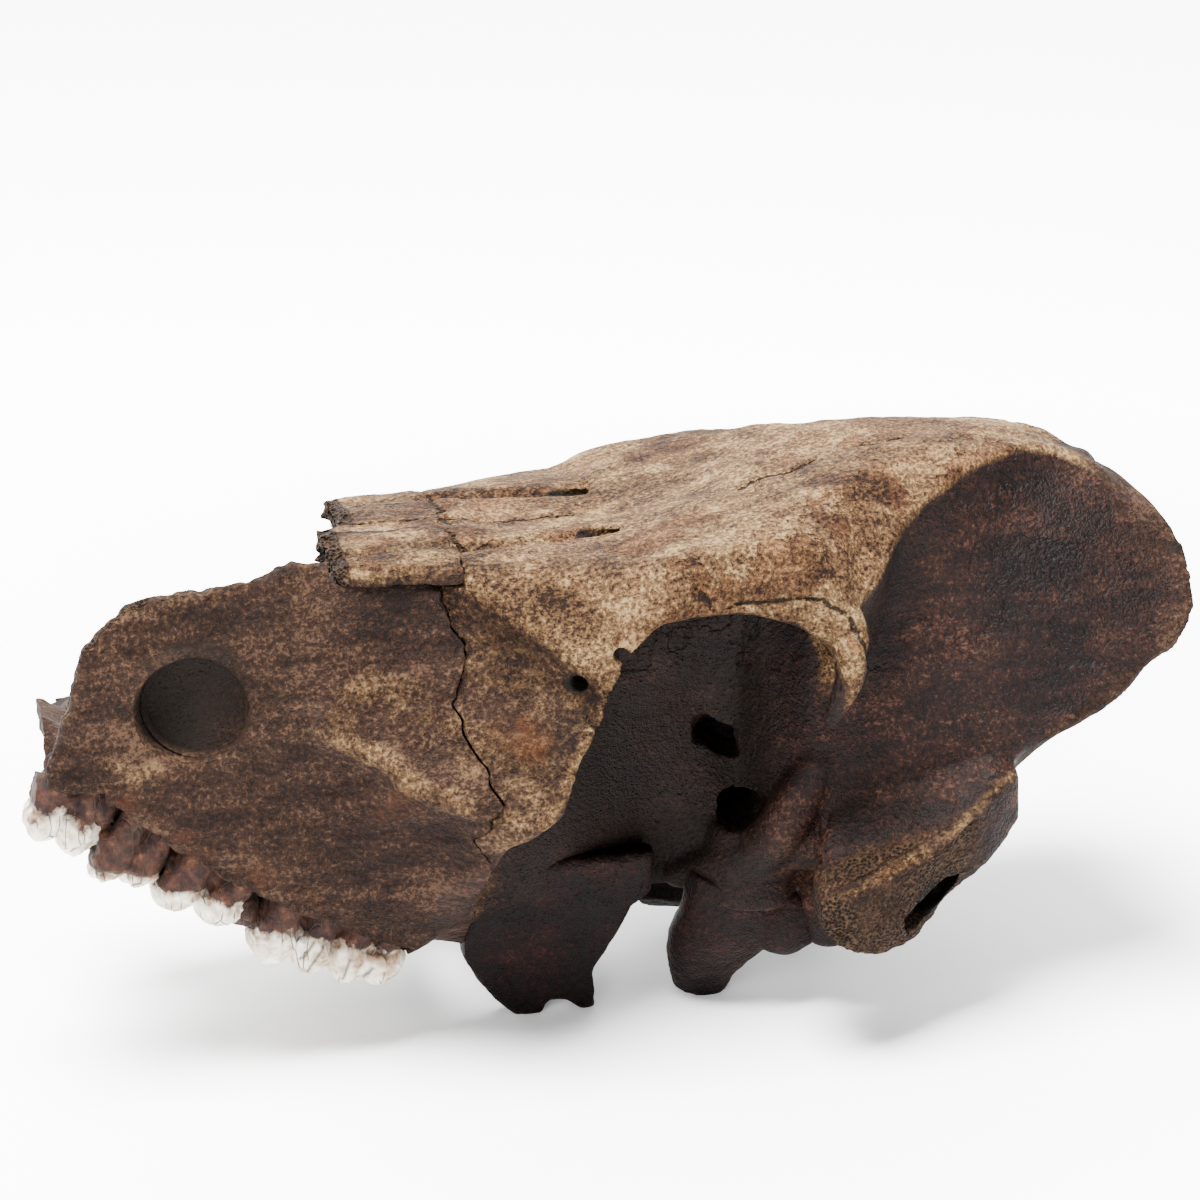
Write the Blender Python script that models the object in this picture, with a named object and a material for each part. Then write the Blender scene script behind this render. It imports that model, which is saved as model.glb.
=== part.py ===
"""Wild boar skull, cranium only, as found: snout broken off in front of the last premolar,
zygomatic arches broken, resting on its pterygoid hooks, left bulla and right paracondylar
process.  Metres, +Z up.  -X is the snout, +X the back of the head, -Y the skull's left side."""

import bpy
import bmesh
import math
import numpy as np
from mathutils import Matrix, Vector

MM = 0.001

# Driving dimensions, millimetres, floor at z = 0 and the plane of symmetry at y = 0.
FACE_JOINT_X = -38.0        # maxilla meets frontal, lacrimal and palatine
NASAL_SEAT_Z = 113.35       # underside of the nasal's edge on the maxilla
NASAL_FRONT_X = -67.0       # broken end of the left nasal bone
NASAL_FRONT_RIGHT_X = -61.5
SNOUT_FRONT_X = -131.0      # broken front of the maxillae
CREST_MID_X = 118.0         # nuchal crest on the midline
CREST_SWEEP = 15.5          # how far its wings reach back behind the midline
PTERYGOID_TOP_Z = 32.0
BULLA_TOP_Z = 30.0
BULLA_REAR_X = 44.0
HALF_GAP = 0.15             # half of the gap between neighbouring bones
NASAL_PASSAGE = (22.0, 23.0)  # half width and half height of the nasal passage
FORAMEN_RADIUS = 10.5
ORIGIN_SHIFT_X = 2.6        # brings the middle of the length over the origin
INFRAORBITAL_RADII = (12.0, 8.5)
BONE_VOXEL = 1.5
TOOTH_VOXEL = 0.9

# Lines of the cranium: knots of station x, half width y and height z.
CRANIUM_LINES = {
    "midline": ((-38, 0, 118.8), (-20, 0, 117.8), (0, 0, 117.8), (12, 0, 120.4), (30, 0, 124.5),
                (50, 0, 128.7), (70, 0, 131.8), (88, 0, 132.4), (100, 0, 131.2), (118, 0, 122.5)),
    "roof": ((-38, 15, 118.8), (-5, 22, 117.9), (10, 26, 121), (30, 27, 124.5), (45, 28, 127),
             (56, 22, 128.6), (68, 16, 131), (80, 11, 131.8), (96, 7, 130.8), (118, 6, 121)),
    "temporal_line": ((-38, 28, 116.3), (-15, 37, 116), (-5, 39.5, 116.4), (10, 42.5, 120),
                      (33, 42.5, 122.2), (45, 41.5, 119), (51, 43.5, 110), (63, 31, 119.5),
                      (80.7, 19.5, 128), (96, 12.5, 129.2), (107, 9.5, 127.3), (118, 14, 116.3)),
    "flank": ((-38, 31, 110), (-31, 36.5, 106.5), (-19.5, 42.5, 100), (-10, 46, 101),
              (0, 46, 110), (20, 46.6, 113.5), (35, 47.5, 113), (45, 47.5, 108), (52, 41, 100),
              (63, 31.5, 108), (80, 26, 114), (103, 18, 120), (118, 22, 112)),
    "cheek": ((-38, 37.5, 90), (-31, 39.5, 88), (-20, 46, 85), (-12, 47.5, 89), (0, 47, 106),
              (20, 47.5, 109), (34, 48, 106.5), (42, 47.5, 102), (52, 37, 91), (63, 32, 96),
              (80, 31, 101), (103, 28, 109), (118, 30, 105.5)),
    "rim_outer": ((-38, 49.5, 66.5), (-31, 52.5, 62.5), (-22.5, 54, 66), (-17, 50.5, 77),
                  (-12, 49, 84), (-6.8, 47.5, 97), (3, 46.5, 107), (20, 47, 107.5),
                  (34, 48, 103.5), (42, 46, 98), (52, 36, 85), (63, 35, 84), (80, 35.5, 88),
                  (103, 35, 98), (118, 36, 100)),
    "rim_inner": ((-38, 42, 46), (-31, 45, 57), (-22.5, 47.5, 67), (-17, 45, 78), (-12, 44, 86),
                  (-6.8, 42, 98), (3, 41, 105.5), (20, 41, 106), (34, 42, 102.5), (42, 40, 96),
                  (52, 37, 80), (63, 37, 76), (80, 38, 80), (103, 38.5, 88), (118, 39.5, 94)),
    "vault": ((-38, 34, 36), (-31, 34, 64), (-22.5, 32, 84), (-12, 25, 98), (0, 20, 104),
              (20, 18, 106), (34, 22, 103), (42, 32, 94), (52, 38.5, 73), (63, 40, 68),
              (80, 41, 70), (103, 42, 79), (118, 40.5, 89)),
    "wall": ((-38, 29, 32), (-31, 28, 48), (-22.5, 25, 62), (-12, 21, 70), (0, 16.5, 72),
             (20, 15, 70), (28, 18, 62), (34, 32, 58), (42, 39, 62), (52, 40, 60), (63, 41, 57),
             (80, 42, 60), (97, 43, 70), (109, 42, 76.5), (118, 39, 87)),
    "keel": ((-38, 26, 29), (-22, 24, 31), (-4, 18, 30), (8, 15, 29), (16, 20, 31), (24, 28, 36),
             (34, 34, 38), (52, 36, 37), (66, 36, 39), (80, 35, 45), (90, 33, 56), (103, 32, 70),
             (118, 33, 95)),
    "base": ((-38, 0, 50), (-4, 0, 37), (8, 0, 30), (30, 0, 31), (60, 0, 33), (76, 0, 37),
             (88, 0, 55), (103, 0, 80), (118, 0, 113)),
}

# Lines of one maxilla, from the top edge down the outside, across the palate and up the inside.
MAXILLA_LINES = {
    "top_outer": ((-131, 28, 78), (-126, 27, 89), (-122, 26, 102), (-115, 25, 109),
                  (-107.5, 24, 112.5), (-89, 24, 114.3), (-75, 23, 116.8), (-67, 23.5, 117.2),
                  (-54, 26, 114.6), (-38, 30, 110)),
    "upper_flank": ((-131, 28, 77), (-121, 27, 96), (-100, 26.5, 103), (-80, 27.5, 104),
                    (-60, 29.5, 103), (-38, 33.5, 100)),
    "hollow": ((-131, 28.2, 76.5), (-120, 27.8, 87), (-100, 28, 88), (-80, 30.5, 92),
               (-66, 33.5, 91), (-52, 36.5, 85), (-38, 40.5, 82)),
    "facial_crest": ((-131, 28.4, 76), (-120, 29, 79), (-100, 31, 76), (-80, 34.5, 79),
                     (-72, 36.5, 84), (-60, 40.5, 77.5), (-51.7, 44.5, 71.4), (-38, 49.7, 66.6)),
    "below_crest": ((-131, 28.4, 75.5), (-120, 29.3, 74.5), (-100, 31.8, 66), (-80, 33.8, 62),
                    (-66, 36, 60), (-52, 40, 56), (-38, 46, 52)),
    "alveolar_outer": ((-131, 28, 73.5), (-121, 28.5, 71), (-109, 30, 61), (-100, 31.2, 54),
                       (-91, 32, 47), (-77, 33, 39), (-60, 32.5, 29.5), (-54, 31, 25),
                       (-46, 32.5, 30), (-38, 40, 42.5)),
    "alveolar_inner": ((-131, 16, 75), (-121, 15.5, 71), (-109, 15.5, 61), (-91, 14.5, 47),
                       (-77, 14, 39), (-60, 15, 29.5), (-54, 16, 25), (-46, 18, 22),
                       (-38, 20, 21)),
    "palate_edge": ((-131, 12, 78), (-109, 11.5, 65), (-77, 11, 43), (-54, 13, 31), (-38, 16, 30)),
    "palate_low": ((-131, 0, 80), (-109, 0, 67), (-77, 0, 45), (-54, 0, 32), (-38, 0, 31)),
    "palate_high": ((-131, 0, 84), (-109, 0, 72), (-77, 0, 51), (-54, 0, 39), (-38, 0, 38)),
    "floor_corner": ((-131, 15, 85), (-109, 16, 74), (-77, 18, 54), (-54, 19, 44), (-38, 20, 44)),
    "inner_wall": ((-131, 23, 76.6), (-121, 22.5, 90), (-100, 22, 92), (-77, 24, 88),
                   (-54, 27, 84), (-38, 29, 82)),
    "top_inner": ((-131, 24, 78), (-126, 23, 88.8), (-122, 22, 101.5), (-115, 21, 108.5),
                  (-107.5, 20, 112), (-89, 20, 113.8), (-67, 19.5, 116.7), (-54, 21, 114),
                  (-38, 23, 109.5)),
}

# Side view outline of one pterygoid plate, down to its hook and back up to the skull base.
PTERYGOID_OUTLINE = ((-37.8, 33), (-37.8, 19), (-34.5, 10.6), (-29.9, 4.5), (-25.5, 0.2),
                     (-19.5, -0.6), (-17.4, 3), (-13.2, 3), (-9, -0.4), (-6.4, 0),
                     (-6.8, 10.5), (-3.7, 15), (0, 21.5), (2.8, 27), (7, 28.5), (7.5, 33))

# Teeth: front x, rear x, outer half width, breadth, tip z front and rear, neck z front and rear,
# cusps along the crown.
TEETH = {
    "premolar_4": (-136.8, -123.3, 28.0, 11.5, 61.5, 54.0, 70.8, 71.3, 2),
    "molar_1": (-122.3, -110.0, 29.0, 13.0, 48.0, 46.0, 68.5, 62.0, 2),
    "molar_2": (-107.5, -89.8, 31.5, 16.5, 39.0, 32.5, 55.5, 46.5, 2),
    "molar_3": (-86.5, -55.3, 33.0, 17.5, 23.5, 14.8, 43.0, 28.0, 4),
}

BONE_COLOURS = {
    "roof": (0.30, 0.215, 0.145, 1.0),
    "face": (0.165, 0.105, 0.068, 1.0),
    "dark": (0.075, 0.045, 0.036, 1.0),
    "enamel": (0.78, 0.74, 0.66, 1.0),
}


def clear_objects():
    for obj in list(bpy.data.objects):
        bpy.data.objects.remove(obj, do_unlink=True)


def bone_material(name, colour, roughness):
    material = bpy.data.materials.new(name)
    material.use_nodes = True
    shader = material.node_tree.nodes["Principled BSDF"]
    shader.inputs["Base Color"].default_value = colour
    shader.inputs["Roughness"].default_value = roughness
    shader.inputs["Metallic"].default_value = 0.0
    return material


def line_at(knots, stations):
    """Smooth curve through knots: cubic pieces whose slopes never overshoot a knot."""
    table = np.array(knots, dtype=float)
    t = table[:, 0]
    values = table[:, 1:]
    step = np.diff(t)[:, None]
    rise = np.diff(values, axis=0) / step
    slope = np.zeros_like(values)
    slope[0] = rise[0]
    slope[-1] = rise[-1]
    same_sign = rise[:-1] * rise[1:] > 0
    bottom = np.where(same_sign, rise[:-1] + rise[1:], 1.0)
    slope[1:-1] = np.where(same_sign, 2 * rise[:-1] * rise[1:] / bottom, 0.0)
    s = np.clip(stations, t[0], t[-1])
    i = np.clip(np.searchsorted(t, s, side="right") - 1, 0, len(t) - 2)
    h = step[i]
    u = ((s - t[i])[:, None]) / h
    start = values[i] * (1 + 2 * u) * (1 - u) ** 2 + slope[i] * h * u * (1 - u) ** 2
    end = values[i + 1] * u * u * (3 - 2 * u) + slope[i + 1] * h * u * u * (u - 1)
    return start + end


def new_object(name, bm, material=None):
    bmesh.ops.recalc_face_normals(bm, faces=bm.faces)
    mesh = bpy.data.meshes.new(name)
    bm.to_mesh(mesh)
    bm.free()
    obj = bpy.data.objects.new(name, mesh)
    bpy.context.collection.objects.link(obj)
    if material is not None:
        mesh.materials.append(material)
    return obj


def add_loft(bm, rings):
    """Closed skin through rings of equal point counts, an n-gon over each end."""
    rows = [[bm.verts.new(Vector(p) * MM) for p in ring] for ring in rings]
    count = len(rows[0])
    for one, two in zip(rows[:-1], rows[1:]):
        for i in range(count):
            j = (i + 1) % count
            bm.faces.new((one[i], one[j], two[j], two[i]))
    bm.faces.new(rows[0])
    bm.faces.new(list(reversed(rows[-1])))


def add_rod(bm, path, radii, sides=12, flat=1.0):
    """Round bar along a path, its radius given at each point; flat squeezes it in Y."""
    points = [Vector(p) for p in path]
    rings = []
    for i, point in enumerate(points):
        ahead = points[min(i + 1, len(points) - 1)]
        behind = points[max(i - 1, 0)]
        along = (ahead - behind).normalized()
        side = along.cross(Vector((0, 1, 0)))
        side = side.normalized() if side.length > 0.05 else Vector((1, 0, 0))
        up = along.cross(side).normalized()
        ring = []
        for k in range(sides):
            a = 2 * math.pi * k / sides
            reach = side * math.cos(a) + up * (math.sin(a) * flat)
            ring.append(point + reach * radii[i])
        rings.append(ring)
    add_loft(bm, rings)


def add_ball(bm, centre, radii, tilt=0.0, segments=24):
    """Ellipsoid, turned about Y by tilt degrees."""
    matrix = (Matrix.Translation(Vector(centre) * MM)
              @ Matrix.Rotation(math.radians(tilt), 4, "Y")
              @ Matrix.Diagonal((radii[0] * MM, radii[1] * MM, radii[2] * MM, 1.0)))
    bmesh.ops.create_uvsphere(bm, u_segments=segments, v_segments=segments // 2, radius=1.0,
                              matrix=matrix)


def box_cutter(name, low, high, tilt=0.0):
    """Box between two corners, turned about its centre around Y, for Booleans only."""
    bm = bmesh.new()
    low = Vector(low) * MM
    high = Vector(high) * MM
    size = high - low
    matrix = (Matrix.Translation((low + high) / 2) @ Matrix.Rotation(math.radians(tilt), 4, "Y")
              @ Matrix.Diagonal((size.x, size.y, size.z, 1.0)))
    bmesh.ops.create_cube(bm, size=1.0, matrix=matrix)
    return as_cutter(new_object(name, bm))


def as_cutter(obj):
    obj.hide_render = True
    obj.display_type = "WIRE"
    return obj


def cut(obj, cutter):
    boolean = obj.modifiers.new("cut_" + cutter.name, "BOOLEAN")
    boolean.operation = "DIFFERENCE"
    boolean.solver = "EXACT"
    boolean.object = cutter


def weather(obj, voxel, rounds, keep):
    """One skin over all the forms, softened as worn bone, with few faces."""
    remesh = obj.modifiers.new("skin", "REMESH")
    remesh.mode = "VOXEL"
    remesh.voxel_size = voxel * MM
    smooth = obj.modifiers.new("soften", "SMOOTH")
    smooth.factor = 0.5
    smooth.iterations = rounds
    decimate = obj.modifiers.new("thin_out", "DECIMATE")
    decimate.ratio = keep


def make_cranium(material):
    stations = np.concatenate((np.arange(-37.85, 112, 3.0), (114.0, CREST_MID_X)))
    half = [line_at(knots, stations) for knots in CRANIUM_LINES.values()]
    rings = []
    for i, x in enumerate(stations):
        side = [(line[i][0], line[i][1]) for line in half]
        both = side + [(-y, z) for y, z in reversed(side[1:-1])]
        back = min(max((x - 95) / (CREST_MID_X - 95), 0), 1)
        ring = []
        for y, z in both:
            low = min(max((97 - z) / 16, 0), 1)
            wing = math.sin(min(abs(y) / 31, 1.15) * math.pi / 2) * (1 - 0.65 * low)
            ring.append((x + back * CREST_SWEEP * wing, y, z))
        rings.append(ring)
    bm = bmesh.new()
    add_loft(bm, rings)
    for side in (-1, 1):
        add_rod(bm, ((38, 42 * side, 110), (45, 48.5 * side, 101), (45.3, 50 * side, 93),
                     (43, 50.3 * side, 86), (40, 50.3 * side, 80.5)), (6, 4.2, 3.2, 2.4, 1.3))
        add_rod(bm, ((14.5, 19 * side, 31), (21, 27 * side, 36.5), (29, 34 * side, 43),
                     (36, 39 * side, 56), (40, 39 * side, 68)), (2, 3, 3.6, 3.6, 3))
        add_zygomatic_root(bm, side)
        add_ball(bm, (84, 14 * side, 42), (10, 8.5, 12), tilt=-25)
        add_rod(bm, ((29, 25 * side, 28), (31, 24 * side, 46)), (12, 10))
        add_ball(bm, (49, 30 * side, 27.5), (9.5, 9, 12.5), tilt=10)
    add_rod(bm, ((62, 28, 30), (64, 28, 48)), (8, 9))
    obj = new_object("cranium", bm, material)
    weather(obj, BONE_VOXEL, 5, 0.042)

    passage = bmesh.new()
    add_ball(passage, (-38, 0, 84), (36, NASAL_PASSAGE[0], NASAL_PASSAGE[1]), segments=16)
    cut(obj, as_cutter(new_object("nasal_passage", passage)))
    canal = bmesh.new()
    add_rod(canal, ((58, 0, 71), (64, 0, 67.5), (112, 0, 40)),
            (FORAMEN_RADIUS * 0.6, FORAMEN_RADIUS, FORAMEN_RADIUS), sides=16)
    cut(obj, as_cutter(new_object("foramen_magnum", canal)))
    cut(obj, box_cutter("face_joint", (-60, -80, 0), (FACE_JOINT_X + HALF_GAP, 80, 140)))
    cut(obj, box_cutter("pterygoid_joint", (-45, -32, 10), (9, 32, PTERYGOID_TOP_Z + HALF_GAP)))
    for side in (-1, 1):
        low, high = sorted((8 * side, 38 * side))
        cut(obj, box_cutter("bulla_joint_%d" % side, (10, low, 8),
                            (BULLA_REAR_X + HALF_GAP, high, BULLA_TOP_Z + HALF_GAP)))
    cut(obj, box_cutter("paracondylar_joint", (52, 18, 15), (74, 40, 34 + HALF_GAP)))
    return obj


def add_zygomatic_root(bm, side):
    """Broken root of the zygomatic arch: a wedge from the ear opening forward."""
    upper = ((37, 61, 39), (40, 61.5, 42), (47.7, 60, 44.4), (56, 59, 48), (65, 57, 51),
             (74.5, 54, 57), (83, 50, 61.7), (89, 46, 62))
    lower = ((37, 61, 34), (40, 62, 30), (50.3, 61, 26.6), (57, 59, 27.3), (64, 56, 30.6),
             (69.3, 54, 35.9), (78.4, 52, 41), (89, 48, 52))
    inner = ((37, 50, 37), (40, 46, 36), (50, 40, 33), (66, 36, 36), (78, 35, 45), (89, 36, 55))
    roof = ((37, 52, 43), (40, 46, 50), (50, 38, 58), (66, 37, 62), (78, 37, 66), (89, 36, 68))
    stations = np.arange(37, 89.5, 4)
    lines = [line_at(knots, stations) for knots in (roof, upper, lower, inner)]
    rings = []
    for i, x in enumerate(stations):
        rings.append([(x, line[i][0] * side, line[i][1]) for line in lines])
    add_loft(bm, rings)


def make_maxilla(name, side, material):
    stations = np.concatenate(((SNOUT_FRONT_X, -128.5), np.arange(-126, -39, 3.0),
                               (FACE_JOINT_X - HALF_GAP,)))
    lines = [line_at(knots, stations) for knots in MAXILLA_LINES.values()]
    rings = []
    for i, x in enumerate(stations):
        rings.append([(x, max(line[i][0], -3.0) * side, line[i][1]) for line in lines])
    bm = bmesh.new()
    add_loft(bm, rings)
    if side > 0:
        add_ball(bm, (-122.5, 22.5, 67), (7, 6, 7.5))
    obj = new_object(name, bm, material)
    weather(obj, 1.3, 3, 0.042)
    low, high = sorted((HALF_GAP * side, -9 * side))
    cut(obj, box_cutter(name + "_median", (-150, low, 0), (-20, high, 140)))
    cut(obj, box_cutter(name + "_joint", (FACE_JOINT_X - HALF_GAP, -80, 0), (-10, 80, 140)))
    cut(obj, box_cutter(name + "_seat", (NASAL_FRONT_X - 0.3, -80, NASAL_SEAT_Z - HALF_GAP),
                        (-20, 80, 140)))
    low, high = sorted((-1 * side, 14 * side))
    cut(obj, box_cutter(name + "_choana", (-51, low, 0), (-30, high, 60)))
    return obj


def cut_infraorbital(obj, side):
    bm = bmesh.new()
    long_axis, short_axis = INFRAORBITAL_RADII
    rings = []
    for y, grow in ((50, 1.25), (30, 1.0), (18, 0.85), (5, 0.8)):
        ring = []
        for k in range(20):
            a = 2 * math.pi * k / 20
            ring.append((-99.5 + (30 - y) * 0.25 + math.cos(a) * long_axis * grow, y * side,
                         88.5 + math.sin(a) * short_axis * grow))
        rings.append(ring)
    add_loft(bm, rings)
    cut(obj, as_cutter(new_object(obj.name + "_foramen", bm)))


def make_nasal(name, side, front_x, material):
    """Broken stub of one nasal bone: a low arched plate."""
    arch = ((0, 119.2), (10, 119.1), (17, 118.6), (22, 117.6), (23.3, 116),
            (22.3, NASAL_SEAT_Z + HALF_GAP), (15, NASAL_SEAT_Z + HALF_GAP), (8, 114.2), (0, 114.4))
    rings = []
    for x in np.linspace(front_x, FACE_JOINT_X - HALF_GAP, 7):
        spread = 1.0 + 0.0065 * (x - NASAL_FRONT_X)
        rings.append([(x, max(y * spread, HALF_GAP) * side, z) for y, z in arch])
    bm = bmesh.new()
    add_loft(bm, rings)
    obj = new_object(name, bm, material)
    return obj


def make_pterygoid(name, side, material):
    """Plate of palatine and pterygoid with its hook, resting on the floor."""
    rings = []
    centre_x = sum(p[0] for p in PTERYGOID_OUTLINE) / len(PTERYGOID_OUTLINE)
    for y, pull in ((20.5, 0.93), (19.5, 1.0), (14.5, 1.0), (13.5, 0.93)):
        ring = []
        for x, z in PTERYGOID_OUTLINE:
            lean = 0.10 * (z - 5)
            ring.append((centre_x + (x - centre_x) * pull, (y + lean) * side, 20 + (z - 20) * pull))
        rings.append(ring)
    bm = bmesh.new()
    add_loft(bm, rings)
    obj = new_object(name, bm, material)
    weather(obj, 1.1, 2, 0.05)
    cut(obj, box_cutter(name + "_top", (-50, -60, PTERYGOID_TOP_Z - HALF_GAP), (20, 60, 60)))
    cut(obj, box_cutter(name + "_front", (-60, -60, -5), (FACE_JOINT_X + HALF_GAP, 60, 60)))
    cut(obj, box_cutter(name + "_floor", (-60, -60, -9), (20, 60, 0)))
    return obj


def make_bulla(name, side, tip_z, material):
    bm = bmesh.new()
    add_rod(bm, ((28, 25 * side, 33), (25.5, 24 * side, 23), (22, 20 * side, 13),
                 (20.5, 15.5 * side, tip_z + 1.2)), (13, 12.5, 10.5, 6.5), sides=16, flat=0.72)
    add_ball(bm, (38, 28 * side, 23), (10, 7.5, 9.5), tilt=10)
    obj = new_object(name, bm, material)
    weather(obj, 1.1, 4, 0.06)
    cut(obj, box_cutter(name + "_top", (0, -60, BULLA_TOP_Z - HALF_GAP), (60, 60, 60)))
    cut(obj, box_cutter(name + "_rear", (BULLA_REAR_X - HALF_GAP, -60, 0), (80, 60, 60)))
    cut(obj, box_cutter(name + "_floor", (0, -60, -9), (60, 60, tip_z)))
    return obj


def make_paracondylar(material):
    bm = bmesh.new()
    add_rod(bm, ((64, 28, 40), (62, 27, 24), (60, 25.5, 10), (59, 25, -3)), (8, 6, 4.5, 3.5), sides=16)
    obj = new_object("paracondylar_process_right", bm, material)
    weather(obj, 1.1, 4, 0.08)
    cut(obj, box_cutter("paracondylar_top", (40, 0, 34 - HALF_GAP), (90, 60, 60)))
    cut(obj, box_cutter("paracondylar_floor", (40, 0, -9), (90, 60, 0)))
    return obj


def socket_tilt(neck_front, neck_rear, x_front, x_rear):
    return -math.degrees(math.atan((neck_rear - neck_front) / (x_rear - x_front)))


def make_tooth(name, side, values, bone, material):
    """Crown of round cusps over tapering roots, cut off at the socket."""
    x0, x1, outer, breadth, tip0, tip1, neck0, neck1, cusps = values
    middle_y = (outer - breadth / 2) * side
    lean = 3.0 if cusps == 2 else 1.5
    tilt = socket_tilt(neck0, neck1, x0, x1)
    bm = bmesh.new()
    pitch = (x1 - x0) / cusps
    for i in range(cusps):
        share = (i + 0.5) / cusps
        x = x0 + share * (x1 - x0)
        tip = tip0 + share * (tip1 - tip0)
        neck = neck0 + share * (neck1 - neck0)
        taper = 1.0 - (0.22 if cusps == 4 and i == 3 else 0.0)
        for row in (-1, 1):
            y = middle_y + row * breadth * 0.23 * taper
            crown = tip + (neck - tip) * 0.5
            add_rod(bm, ((x - 1.8, y, tip + 1.2), (x - 1.2, y, tip + 2.6), (x, y, crown),
                         (x + lean, y, neck + 4)),
                    (pitch * 0.24, pitch * 0.47, pitch * 0.56, pitch * 0.5), sides=12)
    add_ball(bm, ((x0 + x1) / 2, middle_y, (tip0 + tip1) / 2 + (neck0 - tip0) * 0.52),
             ((x1 - x0) * 0.50, breadth * 0.44, (neck0 - tip0) * 0.42), tilt=tilt)
    obj = new_object(name, bm, material)
    weather(obj, TOOTH_VOXEL, 2, 0.06)
    middle_x = (x0 + x1) / 2
    middle_z = (neck0 + neck1) / 2
    length = (x1 - x0) * 1.15 + 7.0
    cut(obj, slab(name + "_neck", middle_x, middle_z, -HALF_GAP, 30, length * 2, tilt, 1))
    cutter = slab(name + "_socket", middle_x, middle_z, HALF_GAP, 34, length, tilt, -1)
    cut(bone, cutter)
    return obj


def slab(name, x, z, offset, depth, length, tilt, direction):
    """Wide block with one face on the sloping plane through x, z; it lies above or below."""
    bm = bmesh.new()
    spin = Matrix.Rotation(math.radians(tilt), 4, "Y")
    shift = Vector((0, 0, offset + direction * depth / 2)) * MM
    matrix = (Matrix.Translation(Vector((x, 0, z)) * MM) @ spin @ Matrix.Translation(shift)
              @ Matrix.Diagonal((length * MM, 120 * MM, depth * MM, 1.0)))
    bmesh.ops.create_cube(bm, size=1.0, matrix=matrix)
    return as_cutter(new_object(name, bm))


clear_objects()
roof_bone = bone_material("weathered_roof_bone", BONE_COLOURS["roof"], 0.72)
face_bone = bone_material("brown_face_bone", BONE_COLOURS["face"], 0.68)
dark_bone = bone_material("stained_base_bone", BONE_COLOURS["dark"], 0.55)
enamel = bone_material("tooth_enamel", BONE_COLOURS["enamel"], 0.35)

cranium = make_cranium(roof_bone)
for label, side in (("left", -1), ("right", 1)):
    maxilla = make_maxilla("maxilla_" + label, side, face_bone)
    if side < 0:
        cut_infraorbital(maxilla, side)
    else:
        cut(maxilla, slab("broken_rim_right", -95, 84, 0, 80, 160, -20, 1))
        cut(maxilla, box_cutter("broken_front_right", (-160, 0, 71.5), (-121.5, 60, 140)))
    front_x = NASAL_FRONT_X if side < 0 else NASAL_FRONT_RIGHT_X
    make_nasal("nasal_" + label, side, front_x, roof_bone)
    make_pterygoid("pterygoid_" + label, side, dark_bone)
    make_bulla("bulla_" + label, side, 0.0 if side < 0 else 6.0, dark_bone)
    for tooth, values in TEETH.items():
        if tooth == "premolar_4" and side > 0:
            continue
        make_tooth(tooth + "_" + label, side, values, maxilla, enamel)
make_paracondylar(dark_bone)

skull = bpy.data.objects.new("skull", None)
bpy.context.collection.objects.link(skull)
for obj in list(bpy.data.objects):
    if obj.type == "MESH":
        obj.parent = skull
skull.location.x = ORIGIN_SHIFT_X * MM
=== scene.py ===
import math
import bpy
import numpy as np
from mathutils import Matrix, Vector


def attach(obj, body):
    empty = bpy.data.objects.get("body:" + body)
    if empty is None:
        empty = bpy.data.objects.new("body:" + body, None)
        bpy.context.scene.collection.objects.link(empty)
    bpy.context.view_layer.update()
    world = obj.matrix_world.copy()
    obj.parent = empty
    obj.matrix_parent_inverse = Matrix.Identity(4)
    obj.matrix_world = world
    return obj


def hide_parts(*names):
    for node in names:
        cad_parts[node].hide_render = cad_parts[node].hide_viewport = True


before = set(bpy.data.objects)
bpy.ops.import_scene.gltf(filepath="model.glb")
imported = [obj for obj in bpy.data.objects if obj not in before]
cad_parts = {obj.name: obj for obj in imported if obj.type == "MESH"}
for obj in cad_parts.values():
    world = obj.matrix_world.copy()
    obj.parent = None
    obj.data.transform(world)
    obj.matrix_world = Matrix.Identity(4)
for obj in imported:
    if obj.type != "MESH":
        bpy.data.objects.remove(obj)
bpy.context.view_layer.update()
mm = 0.001
shiftX = 2.6  # the lines below are in skull millimetres, this brings them over the origin


# value noise: random numbers on a cubic lattice of one cell size, blended with s*s*(3-2s) between corners
def cloudNoise(points, size, seed):
    q = points / size
    cell = np.floor(q).astype(np.int64)
    f = q - cell
    f = f * f * (3 - 2 * f)
    total = np.zeros(len(points))
    for corner in range(8):
        step = np.array([corner & 1, corner >> 1 & 1, corner >> 2 & 1])
        c = cell + step
        h = (c[:, 0] * 73856093) ^ (c[:, 1] * 19349663) ^ (c[:, 2] * 83492791) ^ (seed * 7919 + 13)
        h = ((h ^ (h >> 13)) * 1274126177) & 0x7FFFFFFF
        value = ((h ^ (h >> 15)) & 0xFFFF) / 32767.5 - 1
        total += value * np.prod(np.where(step == 1, f, 1 - f), axis=1)
    return total


# sum of cloud noises, each half the size and half the height of the last
def layeredNoise(points, size, layers, seed):
    total = np.zeros(len(points))
    for k in range(layers):
        total += cloudNoise(points, size / 2 ** k, seed + k * 31) / 2 ** k
    return total


# distance to the nearest of one jittered point per lattice cell, divided by the cell size
def cellNoise(points, size, seed):
    q = points / size
    cell = np.floor(q).astype(np.int64)
    best = np.full(len(points), 9.0)
    for n in range(27):
        c = cell + np.array([n % 3 - 1, n // 3 % 3 - 1, n // 9 - 1])
        spot = np.empty(q.shape)
        for axis in range(3):
            h = (c[:, 0] * 73856093) ^ (c[:, 1] * 19349663) ^ (c[:, 2] * 83492791) ^ (seed + axis * 5749)
            h = ((h ^ (h >> 13)) * 1274126177) & 0x7FFFFFFF
            spot[:, axis] = c[:, axis] + ((h ^ (h >> 15)) & 0xFFFF) / 65535.0
        best = np.minimum(best, np.linalg.norm(q - spot, axis=1))
    return best


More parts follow.
